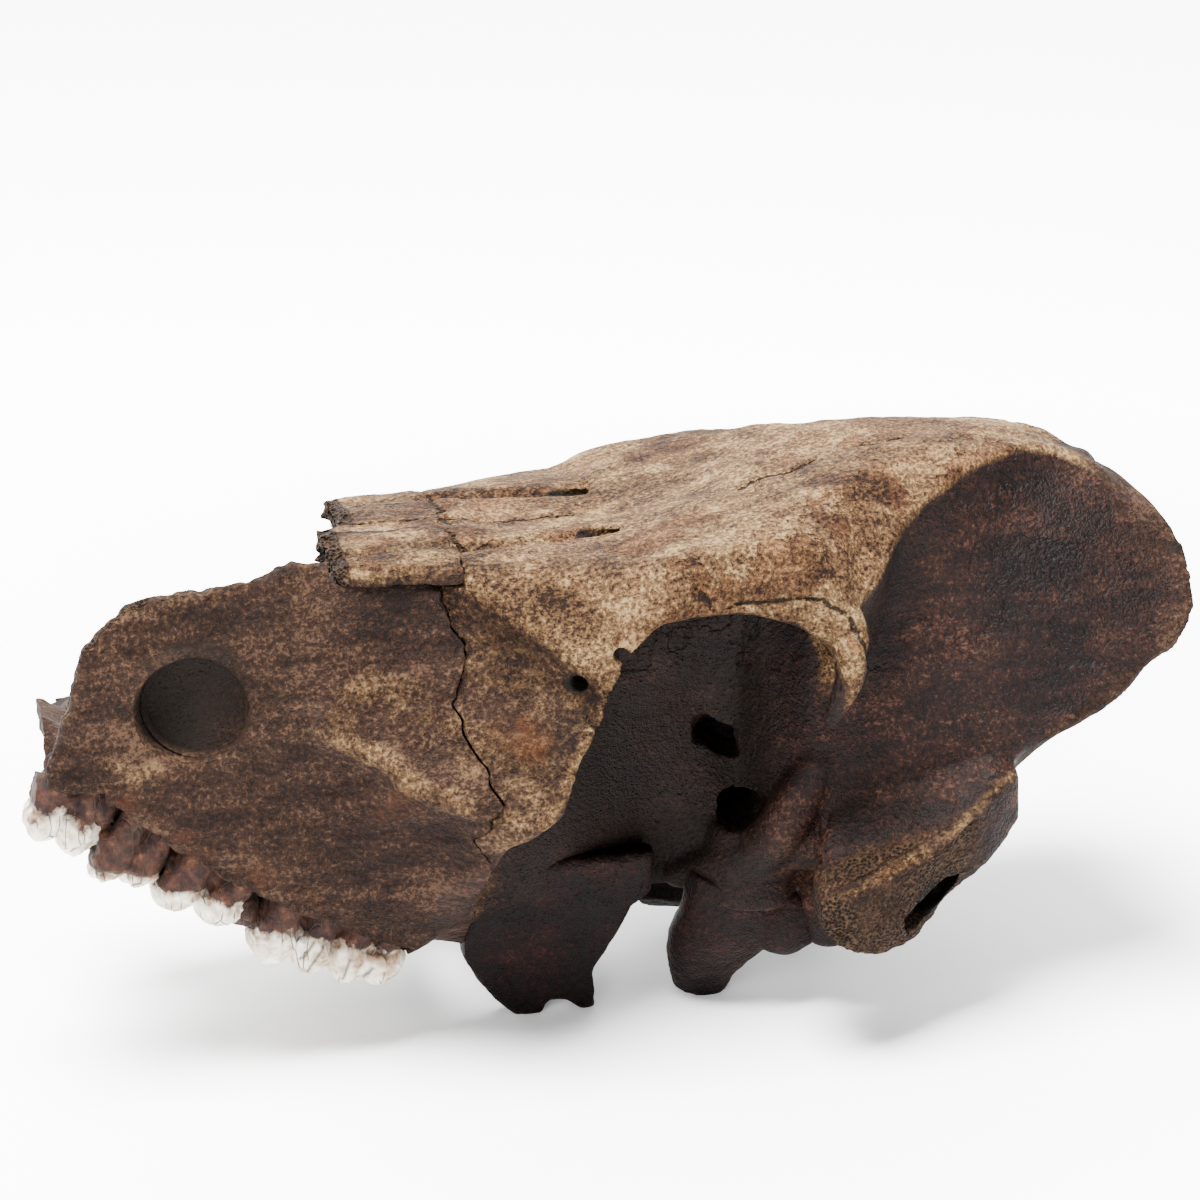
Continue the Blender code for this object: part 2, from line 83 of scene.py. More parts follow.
# curve through knots: cubics whose slopes never overshoot a knot, straight beyond both ends
def curveThrough(knots, at):
    table = np.array(knots, dtype=float)
    t, values = table[:, 0], table[:, 1:]
    step = np.diff(t)[:, None]
    rise = np.diff(values, axis=0) / step
    slope = np.zeros_like(values)
    slope[0], slope[-1] = rise[0], rise[-1]
    same = rise[:-1] * rise[1:] > 0
    slope[1:-1] = np.where(same, 2 * rise[:-1] * rise[1:] / np.where(same, rise[:-1] + rise[1:], 1.0), 0.0)
    at = np.asarray(at, dtype=float)
    s = np.clip(at, t[0], t[-1])
    i = np.clip(np.searchsorted(t, s, side="right") - 1, 0, len(t) - 2)
    h = step[i]
    u = ((s - t[i])[:, None]) / h
    start = values[i] * (1 + 2 * u) * (1 - u) ** 2 + slope[i] * h * u * (1 - u) ** 2
    end = values[i + 1] * u * u * (3 - 2 * u) + slope[i + 1] * h * u * u * (u - 1)
    beyond = (at - s)[:, None] * np.where((at < t[0])[:, None], slope[0], slope[-1])
    return start + end + beyond


# closed ring through corner points: Catmull-Rom cubic, eased towards straight sides by the share "taut"
def ringThrough(corners, each, taut=0.35):
    count = corners.shape[1]
    s = np.arange(count * each) / each
    i = np.floor(s).astype(int)
    u = (s - i)[None, :, None]
    p0, p1 = corners[:, (i - 1) % count], corners[:, i % count]
    p2, p3 = corners[:, (i + 1) % count], corners[:, (i + 2) % count]
    bend = 0.5 * (2 * p1 + (p2 - p0) * u + (2 * p0 - 5 * p1 + 4 * p2 - p3) * u ** 2
                  + (3 * p1 - p0 - 3 * p2 + p3) * u ** 3)
    straight = p1 + (p2 - p1) * u
    return bend + (straight - bend) * taut


# skin over a grid of rings (station, place round the ring), with a fan over each end
def skinOf(grid):
    rows, cols = grid.shape[:2]
    i = np.arange(rows - 1)[:, None] * cols
    j = np.arange(cols)[None, :]
    a, b = (i + j).ravel(), (i + (j + 1) % cols).ravel()
    c, d = a + cols, b + cols
    j = np.arange(cols)
    last = (rows - 1) * cols
    first, end = rows * cols, rows * cols + 1
    faces = np.concatenate([
        np.stack([a, d, b], 1), np.stack([a, c, d], 1),
        np.stack([np.full(cols, first), j, (j + 1) % cols], 1),
        np.stack([np.full(cols, end), last + (j + 1) % cols, last + j], 1)])
    points = np.concatenate([grid.reshape(-1, 3), [grid[0].mean(0)], [grid[-1].mean(0)]])
    # six times the enclosed volume, which is negative when the faces point inwards
    rel = points - points.mean(0)
    volume = np.einsum("ij,ij->", rel[faces[:, 0]], np.cross(rel[faces[:, 1]], rel[faces[:, 2]]))
    return points, faces if volume > 0 else faces[:, ::-1]


# round bar: circles of a given radius square to a smooth path, squeezed along their second axis by "flat"
def bar(path, radii, flat=1.0, sides=32, steps=28):
    at = np.arange(len(path))[:, None]
    knots = np.concatenate([at, np.array(path, float), np.array(radii, float)[:, None]], 1)
    line = curveThrough(knots, np.linspace(0, len(path) - 1, steps))
    centre, radius = line[:, :3], line[:, 3]
    along = np.gradient(centre, axis=0)
    along /= np.linalg.norm(along, axis=1)[:, None]
    side = np.cross(along, (0, 1, 0))
    side /= np.maximum(np.linalg.norm(side, axis=1), 1e-6)[:, None]
    up = np.cross(along, side)
    angle = np.linspace(0, 2 * np.pi, sides, endpoint=False)[None, :, None]
    return skinOf(centre[:, None] + radius[:, None, None]
                  * (side[:, None] * np.cos(angle) + up[:, None] * np.sin(angle) * flat))


# egg: x = a cos(v) cos(u), y = b cos(v) sin(u), z = c sin(v), then turned about the Y axis
def egg(centre, radii, tilt=0.0, sides=36, rows=18):
    v = np.linspace(-np.pi / 2 + 0.02, np.pi / 2 - 0.02, rows)[:, None]
    u = np.linspace(0, 2 * np.pi, sides, endpoint=False)[None, :]
    x, y = radii[0] * np.cos(v) * np.cos(u), radii[1] * np.cos(v) * np.sin(u)
    z = radii[2] * np.sin(v) + 0 * u
    a = math.radians(tilt)
    grid = np.stack([x * math.cos(a) + z * math.sin(a), y, z * math.cos(a) - x * math.sin(a)], 2)
    return skinOf(grid + np.array(centre, float))


# points and triangles into one mesh object; several skins are laid one after another
def meshObject(name, skins):
    counts = np.cumsum([0] + [len(s[0]) for s in skins])
    points = np.concatenate([s[0] for s in skins])
    faces = np.concatenate([s[1] + c for s, c in zip(skins, counts)]).astype(np.int32)
    mesh = bpy.data.meshes.new(name)
    mesh.vertices.add(len(points))
    mesh.vertices.foreach_set("co", ((points + (shiftX, 0, 0)) * mm).ravel().astype(np.float32))
    mesh.loops.add(faces.size)
    mesh.loops.foreach_set("vertex_index", faces.ravel())
    mesh.polygons.add(len(faces))
    mesh.polygons.foreach_set("loop_start", np.arange(0, faces.size, 3, dtype=np.int32))
    mesh.update(calc_edges=True)
    mesh.validate()
    obj = bpy.data.objects.new(name, mesh)
    bpy.context.scene.collection.objects.link(obj)
    return obj


# the shape that the modifiers give takes the mesh's place
def bakeModifiers(obj):
    shape = bpy.data.meshes.new_from_object(obj.evaluated_get(bpy.context.evaluated_depsgraph_get()))
    obj.modifiers.clear()
    old = obj.data
    obj.data = shape
    bpy.data.meshes.remove(old)


# one skin over overlapping forms, then rounded
def growSkin(obj, voxel, rounds):
    skin = obj.modifiers.new("skin", "REMESH")
    skin.mode = "VOXEL"
    skin.voxel_size = voxel * mm
    soft = obj.modifiers.new("soft", "SMOOTH")
    soft.factor = 0.5
    soft.iterations = rounds
    bakeModifiers(obj)


# node name molar_1_left becomes molar1Left
def pieceName(nodeName):
    first, *rest = nodeName.split("_")
    return first + "".join(word.capitalize() for word in rest)


# points of a piece in skull millimetres
def readPoints(obj):
    co = np.empty(len(obj.data.vertices) * 3, np.float32)
    obj.data.vertices.foreach_get("co", co)
    return co.reshape(-1, 3).astype(float) / mm - (shiftX, 0, 0)


# unit normals at the points
def readNormals(obj):
    no = np.empty(len(obj.data.vertices) * 3, np.float32)
    obj.data.vertex_normals.foreach_get("vector", no)
    return no.reshape(-1, 3).astype(float)


# points in skull millimetres back into the mesh
def writePoints(obj, points):
    obj.data.vertices.foreach_set("co", ((points + (shiftX, 0, 0)) * mm).ravel().astype(np.float32))
    obj.data.update()


# one number for each point, kept on the mesh for the materials
def keepMask(obj, name, values):
    layer = obj.data.attributes.new(name, "FLOAT", "POINT")
    layer.data.foreach_set("value", np.asarray(values, np.float32))


# cuts closed forms out of a piece, one after another, and drops them
def carve(obj, cutters):
    for cutter in cutters:
        boolean = obj.modifiers.new("cut", "BOOLEAN")
        boolean.operation = "DIFFERENCE"
        boolean.solver = "MANIFOLD"
        boolean.object = cutter
        bakeModifiers(obj)
        bpy.data.objects.remove(cutter)


# skin whose points are pushed about by noise, for openings with uneven rims
def uneven(skin, amount, size, seed):
    points, faces = skin
    push = np.stack([layeredNoise(points, size, 2, seed + k) for k in (0, 3, 6)], 1)
    return points + push * amount, faces


# shortest way from each point to a chain of straight pieces
def wayTo(points, chain):
    chain = np.array(chain, float)
    best = np.full(len(points), 1e9)
    for a, b in zip(chain[:-1], chain[1:]):
        ab = b - a
        t = np.clip(((points - a) @ ab) / (ab @ ab), 0, 1)
        best = np.minimum(best, np.linalg.norm(points - a - t[:, None] * ab, axis=1))
    return best


# signed way to a side-view outline: negative inside, by counting crossings
def insideOf(points, outline):
    ring = np.array(list(outline) + [outline[0]], float)
    flat = points[:, [0, 2]]
    way = wayTo(flat, ring)
    inside = np.zeros(len(points), bool)
    for (x0, z0), (x1, z1) in zip(ring[:-1], ring[1:]):
        if z0 == z1:
            continue
        crosses = (z0 > flat[:, 1]) != (z1 > flat[:, 1])
        inside ^= crosses & (flat[:, 0] < (x1 - x0) * (flat[:, 1] - z0) / (z1 - z0) + x0)
    return np.where(inside, -way, way)


# 1 where the way is nothing, falling to almost nothing at twice the width
def bell(way, width):
    return np.exp(-(way / width) ** 2)


# lines along each bone: y and z at stations of x, from the top line round to the underside
craniumLines = {
    "midline": ((-38, 0, 118.8), (-20, 0, 117.8), (0, 0, 117.8), (12, 0, 120.4), (30, 0, 124.5),
                (50, 0, 128.7), (70, 0, 131.8), (88, 0, 132.4), (100, 0, 131.2), (118, 0, 122.5)),
    "roof": ((-38, 15, 118.8), (-5, 22, 117.9), (10, 26, 121), (30, 27, 124.5), (45, 28, 127),
             (56, 22, 128.6), (68, 16, 131), (80, 11, 131.8), (96, 7, 130.8), (118, 6, 121)),
    "temporalLine": ((-38, 28, 116.3), (-15, 37, 116), (-5, 39.5, 116.4), (10, 42.5, 120),
                     (33, 42.5, 122.2), (45, 41.5, 119), (51, 43.5, 110), (63, 31, 119.5),
                     (80.7, 19.5, 128), (96, 12.5, 129.2), (107, 9.5, 127.3), (118, 14, 116.3)),
    "flank": ((-38, 31, 110), (-31, 36.5, 106.5), (-19.5, 42.5, 100), (-10, 46, 101),
              (0, 46, 110), (20, 46.6, 113.5), (35, 47.5, 113), (45, 47.5, 108), (52, 41, 100),
              (63, 31.5, 108), (80, 26, 114), (103, 18, 120), (118, 22, 112)),
    "cheek": ((-38, 37.5, 90), (-31, 39.5, 88), (-20, 46, 85), (-12, 47.5, 89), (0, 47, 106),
              (20, 47.5, 109), (34, 48, 106.5), (42, 47.5, 102), (52, 37, 91), (63, 32, 96),
              (80, 31, 101), (103, 28, 109), (118, 30, 105.5)),
    "rimOuter": ((-38, 49.5, 66.5), (-31, 52.5, 62.5), (-22.5, 54, 66), (-17, 50.5, 77),
                 (-12, 49, 84), (-6.8, 47.5, 97), (3, 46.5, 107), (20, 47, 107.5),
                 (34, 48, 103.5), (42, 46, 98), (52, 36, 85), (63, 35, 84), (80, 35.5, 88),
                 (103, 35, 98), (118, 36, 100)),
    "rimInner": ((-38, 42, 46), (-31, 45, 57), (-22.5, 47.5, 67), (-17, 45, 78), (-12, 44, 86),
                 (-6.8, 42, 98), (3, 41, 105.5), (20, 41, 106), (34, 42, 102.5), (42, 40, 96),
                 (52, 37, 80), (63, 37, 76), (80, 38, 80), (103, 38.5, 88), (118, 39.5, 94)),
    "vault": ((-38, 34, 36), (-31, 34, 64), (-22.5, 32, 84), (-12, 25, 98), (0, 20, 104),
              (20, 18, 106), (34, 22, 103), (42, 32, 94), (52, 38.5, 73), (63, 40, 68),
              (80, 41, 70), (103, 42, 79), (118, 40.5, 89)),
    "wall": ((-38, 29, 32), (-31, 28, 48), (-22.5, 25, 62), (-12, 21, 70), (0, 16.5, 72),
             (20, 15, 70), (28, 18, 62), (34, 32, 58), (42, 39, 62), (52, 40, 60), (63, 41, 57),
             (80, 42, 60), (97, 43, 70), (109, 42, 76.5), (118, 39, 87)),
    "keel": ((-38, 26, 29), (-22, 24, 31), (-4, 18, 30), (8, 15, 29), (16, 20, 31), (24, 28, 36),
             (34, 34, 38), (52, 36, 37), (66, 36, 39), (80, 35, 45), (90, 33, 56), (103, 32, 70),
             (118, 33, 95)),
    "base": ((-38, 0, 50), (-4, 0, 37), (8, 0, 30), (30, 0, 31), (60, 0, 33), (76, 0, 37),
             (88, 0, 55), (103, 0, 80), (118, 0, 113)),
}

maxillaLines = {
    "topOuter": ((-131, 28, 78), (-126, 27, 89), (-122, 26, 102), (-115, 25, 109),
                 (-107.5, 24, 112.5), (-89, 24, 114.3), (-75, 23, 116.8), (-67, 23.5, 117.2),
                 (-54, 26, 114.6), (-38, 30, 110)),
    "upperFlank": ((-131, 28, 77), (-121, 27, 96), (-100, 26.5, 103), (-80, 27.5, 104),
                   (-60, 29.5, 103), (-38, 33.5, 100)),
    "hollow": ((-131, 28.2, 76.5), (-120, 27.8, 87), (-100, 28, 88), (-80, 30.5, 92),
               (-66, 33.5, 91), (-52, 36.5, 85), (-38, 40.5, 82)),
    "facialCrest": ((-131, 28.4, 76), (-120, 29, 79), (-100, 31, 76), (-80, 34.5, 79),
                    (-72, 36.5, 84), (-60, 40.5, 77.5), (-51.7, 44.5, 71.4), (-38, 49.7, 66.6)),
    "belowCrest": ((-131, 28.4, 75.5), (-120, 29.3, 74.5), (-100, 31.8, 66), (-80, 33.8, 62),
                   (-66, 36, 60), (-52, 40, 56), (-38, 46, 52)),
    "alveolarOuter": ((-131, 28, 73.5), (-121, 28.5, 71), (-109, 30, 61), (-100, 31.2, 54),
                      (-91, 32, 47), (-77, 33, 39), (-60, 32.5, 29.5), (-54, 31, 25),
                      (-46, 32.5, 30), (-38, 40, 42.5)),
    "alveolarInner": ((-131, 16, 75), (-121, 15.5, 71), (-109, 15.5, 61), (-91, 14.5, 47),
                      (-77, 14, 39), (-60, 15, 29.5), (-54, 16, 25), (-46, 18, 22), (-38, 20, 21)),
    "palateEdge": ((-131, 12, 78), (-109, 11.5, 65), (-77, 11, 43), (-54, 13, 31), (-38, 16, 30)),
    "palateLow": ((-131, 0, 80), (-109, 0, 67), (-77, 0, 45), (-54, 0, 32), (-38, 0, 31)),
    "palateHigh": ((-131, 0, 84), (-109, 0, 72), (-77, 0, 51), (-54, 0, 39), (-38, 0, 38)),
    "floorCorner": ((-131, 15, 85), (-109, 16, 74), (-77, 18, 54), (-54, 19, 44), (-38, 20, 44)),
    "innerWall": ((-131, 23, 76.6), (-121, 22.5, 90), (-100, 22, 92), (-77, 24, 88),
                  (-54, 27, 84), (-38, 29, 82)),
    "topInner": ((-131, 24, 78), (-126, 23, 88.8), (-122, 22, 101.5), (-115, 21, 108.5),
                 (-107.5, 20, 112), (-89, 20, 113.8), (-67, 19.5, 116.7), (-54, 21, 114),
                 (-38, 23, 109.5)),
}

# outlines in side view (x, z)
# inside this outline the bone is dark: darker bone in the temporal fossa, painted shade in the orbit
darkSide = ((-27, -20), (-29, 50), (-25, 62), (-19, 72), (-15, 79), (-10, 86), (-8.5, 92), (-5.5, 98),
            (0, 103.5), (8, 107), (20, 107.5), (33, 104.5), (40.5, 98), (43.2, 90), (42.6, 79), (45.5, 82),
            (48, 95), (48.5, 106), (50.8, 108), (56.5, 113), (63, 118.5), (71.5, 123), (80.7, 126.4),
            (96, 128.8), (107, 127.2), (115, 123.2), (121.5, 117.4), (127.5, 110.5), (130.5, 102),
            (129, 93.5), (124, 87), (116, 83), (109, 78), (100, 73.5), (92, 67), (89, 58), (100, -20))
seamDown = ((-44, 150), (-43.3, 111.7), (-41.6, 104), (-38.8, 100.2), (-38.4, 97), (-41.2, 91), (-42.6, 88),
            (-41.4, 84.5), (-39.6, 79.5), (-36.6, 73.5), (-34.4, 69.0), (-34.2, 67.4), (-36.6, 65.0),
            (-37.0, 62.6), (-40, 59.5), (-38.6, 56.8), (-36.5, 53), (-36.8, 48), (-38, 42), (-38, -30))
# below this line the cheek is brown, above it the roof is pale
paleBelow = ((-60, 113.5), (-43, 112), (-37, 110.3), (-31.6, 107), (-25, 103), (-19.5, 98.5), (-15, 95.5),
             (-11, 93), (-9, 84), (60, 84), (118, 84), (118, 40), (-60, 40))
# ridges in space (x, y, z), on the left side
overhang = ((-43.4, -29.5, 113.4), (-37, -33.5, 110.6), (-31.6, -37, 107.3), (-25.5, -40.5, 103.2),
            (-19.5, -43.5, 99), (-14, -46, 96))
temporalRidge = ((47, -44, 108), (50.8, -44, 109), (56.5, -38, 114), (63, -31, 119.5), (71.5, -25, 124.5),
                 (80.7, -19.5, 127.6), (96, -12.5, 129), (107, -9.5, 127.3), (116, -8, 122.5))
crestRim = ((118, 0, 123), (121.4, -6, 121), (125, -10, 118), (128, -15, 115), (132.3, -20, 111),
            (133.7, -27, 106.7), (132.6, -34, 100), (131, -38, 94.6), (129, -40, 87.3), (123.7, -41, 81),
            (117, -42, 80.5), (109, -42, 74.3), (103, -43, 72.5), (97, -44, 69.8))
orbitRim = ((-22, -52, 66), (-17, -50.5, 77), (-12, -49, 84), (-9.6, -47.5, 90), (-6.8, -47, 97.8),
            (-2.6, -46.5, 103), (3.2, -46, 108.2), (10.6, -45.5, 110.4), (20.3, -46, 109.5),
            (34, -46, 105.9), (40.7, -48, 97), (41.5, -50, 85.8), (39.4, -50, 79.7))
zygomaticEdge = ((38, -61, 41), (47.7, -60, 44.4), (56, -59, 48), (65, -57, 51), (74.5, -54, 57),
                 (83, -50, 61.7), (86.7, -48, 62.7))


# seam line in side view with a fine irregular run: x of the seam at each height
def seamAt(z, drift=0.0):
    line = np.array(seamDown[::-1], float)
    x = np.interp(z, line[:, 1], line[:, 0])
    wander = np.stack([np.full(len(z), 3.3), np.full(len(z), 1.7), z], 1)
    fade = np.clip((z - 40) / 10, 0, 1)
    drift = drift * (1 + 1.7 * np.clip((z - 58) / 4, 0, 1) * np.clip((114 - z) / 3, 0, 1))
    return x + (cloudNoise(wander, 3.4, 5) * 1.0 + cloudNoise(wander, 1.3, 9) * 0.55) * fade + drift


# upright wall whose near face follows the seam: four-cornered rings stacked in height
def seamWall(name, drift, far, low, high):
    z = np.arange(low, high, 0.5)
    x = seamAt(z, drift)
    left, right, end = (np.full(len(z), value) for value in (-85.0, 85.0, float(far)))
    corners = [np.stack(c, 1) for c in ((x, left, z), (x, right, z), (end, right, z), (end, left, z))]
    rings = np.stack(corners, 1)
    return meshObject(name, [skinOf(rings if far > 0 else rings[:, ::-1])])


# upright wall across the roof: its front face wanders with y round the given x
def jointWall(name, x, drift, far):
    y = np.arange(-62, 62, 0.6)
    line = np.stack([y, np.full(len(y), 4.4), np.full(len(y), 8.1)], 1)
    near = x + drift + cloudNoise(line, 4.6, 71) * 1.3 + cloudNoise(line, 1.5, 77) * 0.45
    low, high, end = (np.full(len(y), value) for value in (112.4, 140.0, float(far)))
    corners = [np.stack([a, y, b], 1) for a, b in ((near, low), (near, high), (end, high), (end, low))]
    return meshObject(name, [skinOf(np.stack(corners, 1))])


# level slab whose near face wanders with x round the height of the nasal seam
def seatSlab(name, drift, far, start, end):
    x = np.arange(start, end, 0.6)
    line = np.stack([x, np.full(len(x), 2.2), np.full(len(x), 6.6)], 1)
    near = 113.3 + drift + cloudNoise(line, 5.2, 81) * 0.7 + cloudNoise(line, 1.6, 87) * 0.3
    left, right, top = (np.full(len(x), value) for value in (-80.0, 80.0, float(far)))
    corners = [np.stack([x, a, b], 1) for a, b in ((left, near), (right, near), (right, top), (left, top))]
    return meshObject(name, [skinOf(np.stack(corners, 1))])


# block between two corners
def block(name, low, high):
    low, high = np.array(low, float), np.array(high, float)
    c, h = (low + high) / 2, (high - low) / 2
    ring = ((-1, -1), (1, -1), (1, 1), (-1, 1))
    grid = np.array([[(x * h[0], y * h[1], z * h[2]) for x, y in ring] for z in (-1, 1)])
    return meshObject(name, [skinOf(grid + c)])


# wide block with one face on the sloping plane through x, z; it lies above (1) or below (-1) it
def slopedBlock(name, x, z, offset, depth, length, tilt, direction):
    a = math.radians(tilt)
    ring = ((-1, -1), (1, -1), (1, 1), (-1, 1))
    middle = offset + direction * depth / 2
    grid = np.array([[(u * length / 2, v * 60, middle + w * depth / 2) for u, v in ring] for w in (-1, 1)])
    along, up = grid[..., 0].copy(), grid[..., 2].copy()
    grid[..., 0] = along * math.cos(a) + up * math.sin(a) + x
    grid[..., 2] = up * math.cos(a) - along * math.sin(a) + z
    return meshObject(name, [skinOf(grid)])


# the next functions add shader nodes and give back their output
def node(tree, kind, **values):
    n = tree.nodes.new(kind)
    for key, value in values.items():
        setattr(n, key, value)
    return n


# noise of so many clouds to a metre; stretch squeezes it along the axes of a leaning grain
def noiseAt(tree, coords, scale, detail, rough, stretch=None):
    if stretch is not None:
        turn = node(tree, "ShaderNodeMapping")
        turn.inputs["Scale"].default_value = stretch
        turn.inputs["Rotation"].default_value = (0.0, 0.45, 0.0)
        tree.links.new(coords, turn.inputs["Vector"])
        coords = turn.outputs["Vector"]
    n = node(tree, "ShaderNodeTexNoise")
    n.inputs["Scale"].default_value = scale
    n.inputs["Detail"].default_value = detail
    n.inputs["Roughness"].default_value = rough
    tree.links.new(coords, n.inputs["Vector"])
    return n.outputs["Fac"]


# way to the middle or edge of cells, so many to a metre
def cellsAt(tree, coords, scale, feature):
    cells = node(tree, "ShaderNodeTexVoronoi", feature=feature)
    cells.inputs["Scale"].default_value = scale
    tree.links.new(coords, cells.inputs["Vector"])
    return cells.outputs["Distance"]


# colour ramp through places and colours
def rampOf(tree, source, places, colours):
    ramp = node(tree, "ShaderNodeValToRGB")
    while len(ramp.color_ramp.elements) < len(places):
        ramp.color_ramp.elements.new(0.5)
    for element, place, colour in zip(ramp.color_ramp.elements, places, colours):
        element.position = place
        element.color = (*colour, 1.0)
    tree.links.new(source, ramp.inputs["Fac"])
    return ramp.outputs["Color"]


# colour b laid over colour a by its share
def blendOf(tree, share, a, b, kind="MIX"):
    m = node(tree, "ShaderNodeMix", data_type="RGBA", blend_type=kind)
    for socket, value in ((m.inputs["Factor"], share), (m.inputs["A"], a), (m.inputs["B"], b)):
        if isinstance(value, (int, float)):
            socket.default_value = value
        elif isinstance(value, tuple):
            socket.default_value = (*value, 1.0)
        else:
            tree.links.new(value, socket)
    return m.outputs["Result"]


# two values joined by one sum, difference or product
def mathOf(tree, kind, a, b):
    m = node(tree, "ShaderNodeMath", operation=kind)
    for socket, value in zip(m.inputs, (a, b)):
        if isinstance(value, (int, float)):
            socket.default_value = value
        else:
            tree.links.new(value, socket)
    return m.outputs[0]


def plus(tree, a, b):
    return mathOf(tree, "ADD", a, b)


def minus(tree, a, b):
    return mathOf(tree, "SUBTRACT", a, b)


def times(tree, a, b):
    return mathOf(tree, "MULTIPLY", a, b)


# noise about nothing, half below and half above, by a strength
def swayOf(tree, noise, strength):
    return times(tree, minus(tree, noise, 0.5), strength)


# the range low to high spread over a to b, and held there beyond it
def grade(tree, source, low, high, a=0.0, b=1.0):
    m = node(tree, "ShaderNodeMapRange")
    m.inputs["From Min"].default_value, m.inputs["From Max"].default_value = low, high
    m.inputs["To Min"].default_value, m.inputs["To Max"].default_value = a, b
    tree.links.new(source, m.inputs["Value"])
    return m.outputs["Result"]


# a mask kept on the mesh
def maskOf(tree, name):
    return node(tree, "ShaderNodeAttribute", attribute_name=name).outputs["Fac"]


def bumpOf(tree, height, strength, distance):
    bump = node(tree, "ShaderNodeBump")
    bump.inputs["Strength"].default_value = strength
    bump.inputs["Distance"].default_value = distance
    tree.links.new(height, bump.inputs["Height"])
    return bump.outputs["Normal"]


# new material, its tree, its shader and the coordinates of the piece
def newMaterial(name):
    material = bpy.data.materials.new(name)
    material.use_nodes = True
    tree = material.node_tree
    coords = node(tree, "ShaderNodeTexCoord").outputs["Object"]
    return material, tree, tree.nodes["Principled BSDF"], coords


boneFinish = {
    # four colours of each kind of bone, dark to light; the dark kind serves both darker bone and painted
    # shade
    "pale": ((0.0095, 0.0038, 0.0016), (0.050, 0.0265, 0.0115), (0.100, 0.0600, 0.0285),
             (0.215, 0.146, 0.075)),
    "brown": ((0.0040, 0.0015, 0.0008), (0.0118, 0.0052, 0.0029), (0.0215, 0.0105, 0.0063),
              (0.056, 0.0315, 0.0195)),
    "dark": ((0.0014, 0.0004, 0.0003), (0.0056, 0.0017, 0.0010), (0.0145, 0.0050, 0.0030),
             (0.050, 0.0240, 0.0155)),
    "spongy": ((0.0015, 0.0006, 0.0003), (0.0105, 0.0050, 0.0026), (0.029, 0.0155, 0.0085),
               (0.060, 0.035, 0.020)),
    "rust": (0.056, 0.018, 0.0055),
    "crack": (0.006, 0.004, 0.003),
    "pit": (0.03, 0.016, 0.010),
    "green": (0.20, 0.185, 0.135),
    "pink": (0.24, 0.14, 0.11),
    "worn": (0.66, 0.52, 0.46),
    # tints that darken everything they lie on: weather evenly over roof and face, shade as painted shade over
    # the pieces of the base underneath
    "weather": (0.63, 0.60, 0.55),
    "shade": (0.33, 0.185, 0.155),
    # how many to a metre
    "clouds": 24, "patches": 42, "wornPatches": 58, "edges": 95, "pitFields": 120, "streaks": 190,
    "wobbles": 700, "pores": 900, "grains": 950, "cells": 1350,
    "shine": 0.07, "bump": 0.9, "bumpDepth": 0.0016,
}
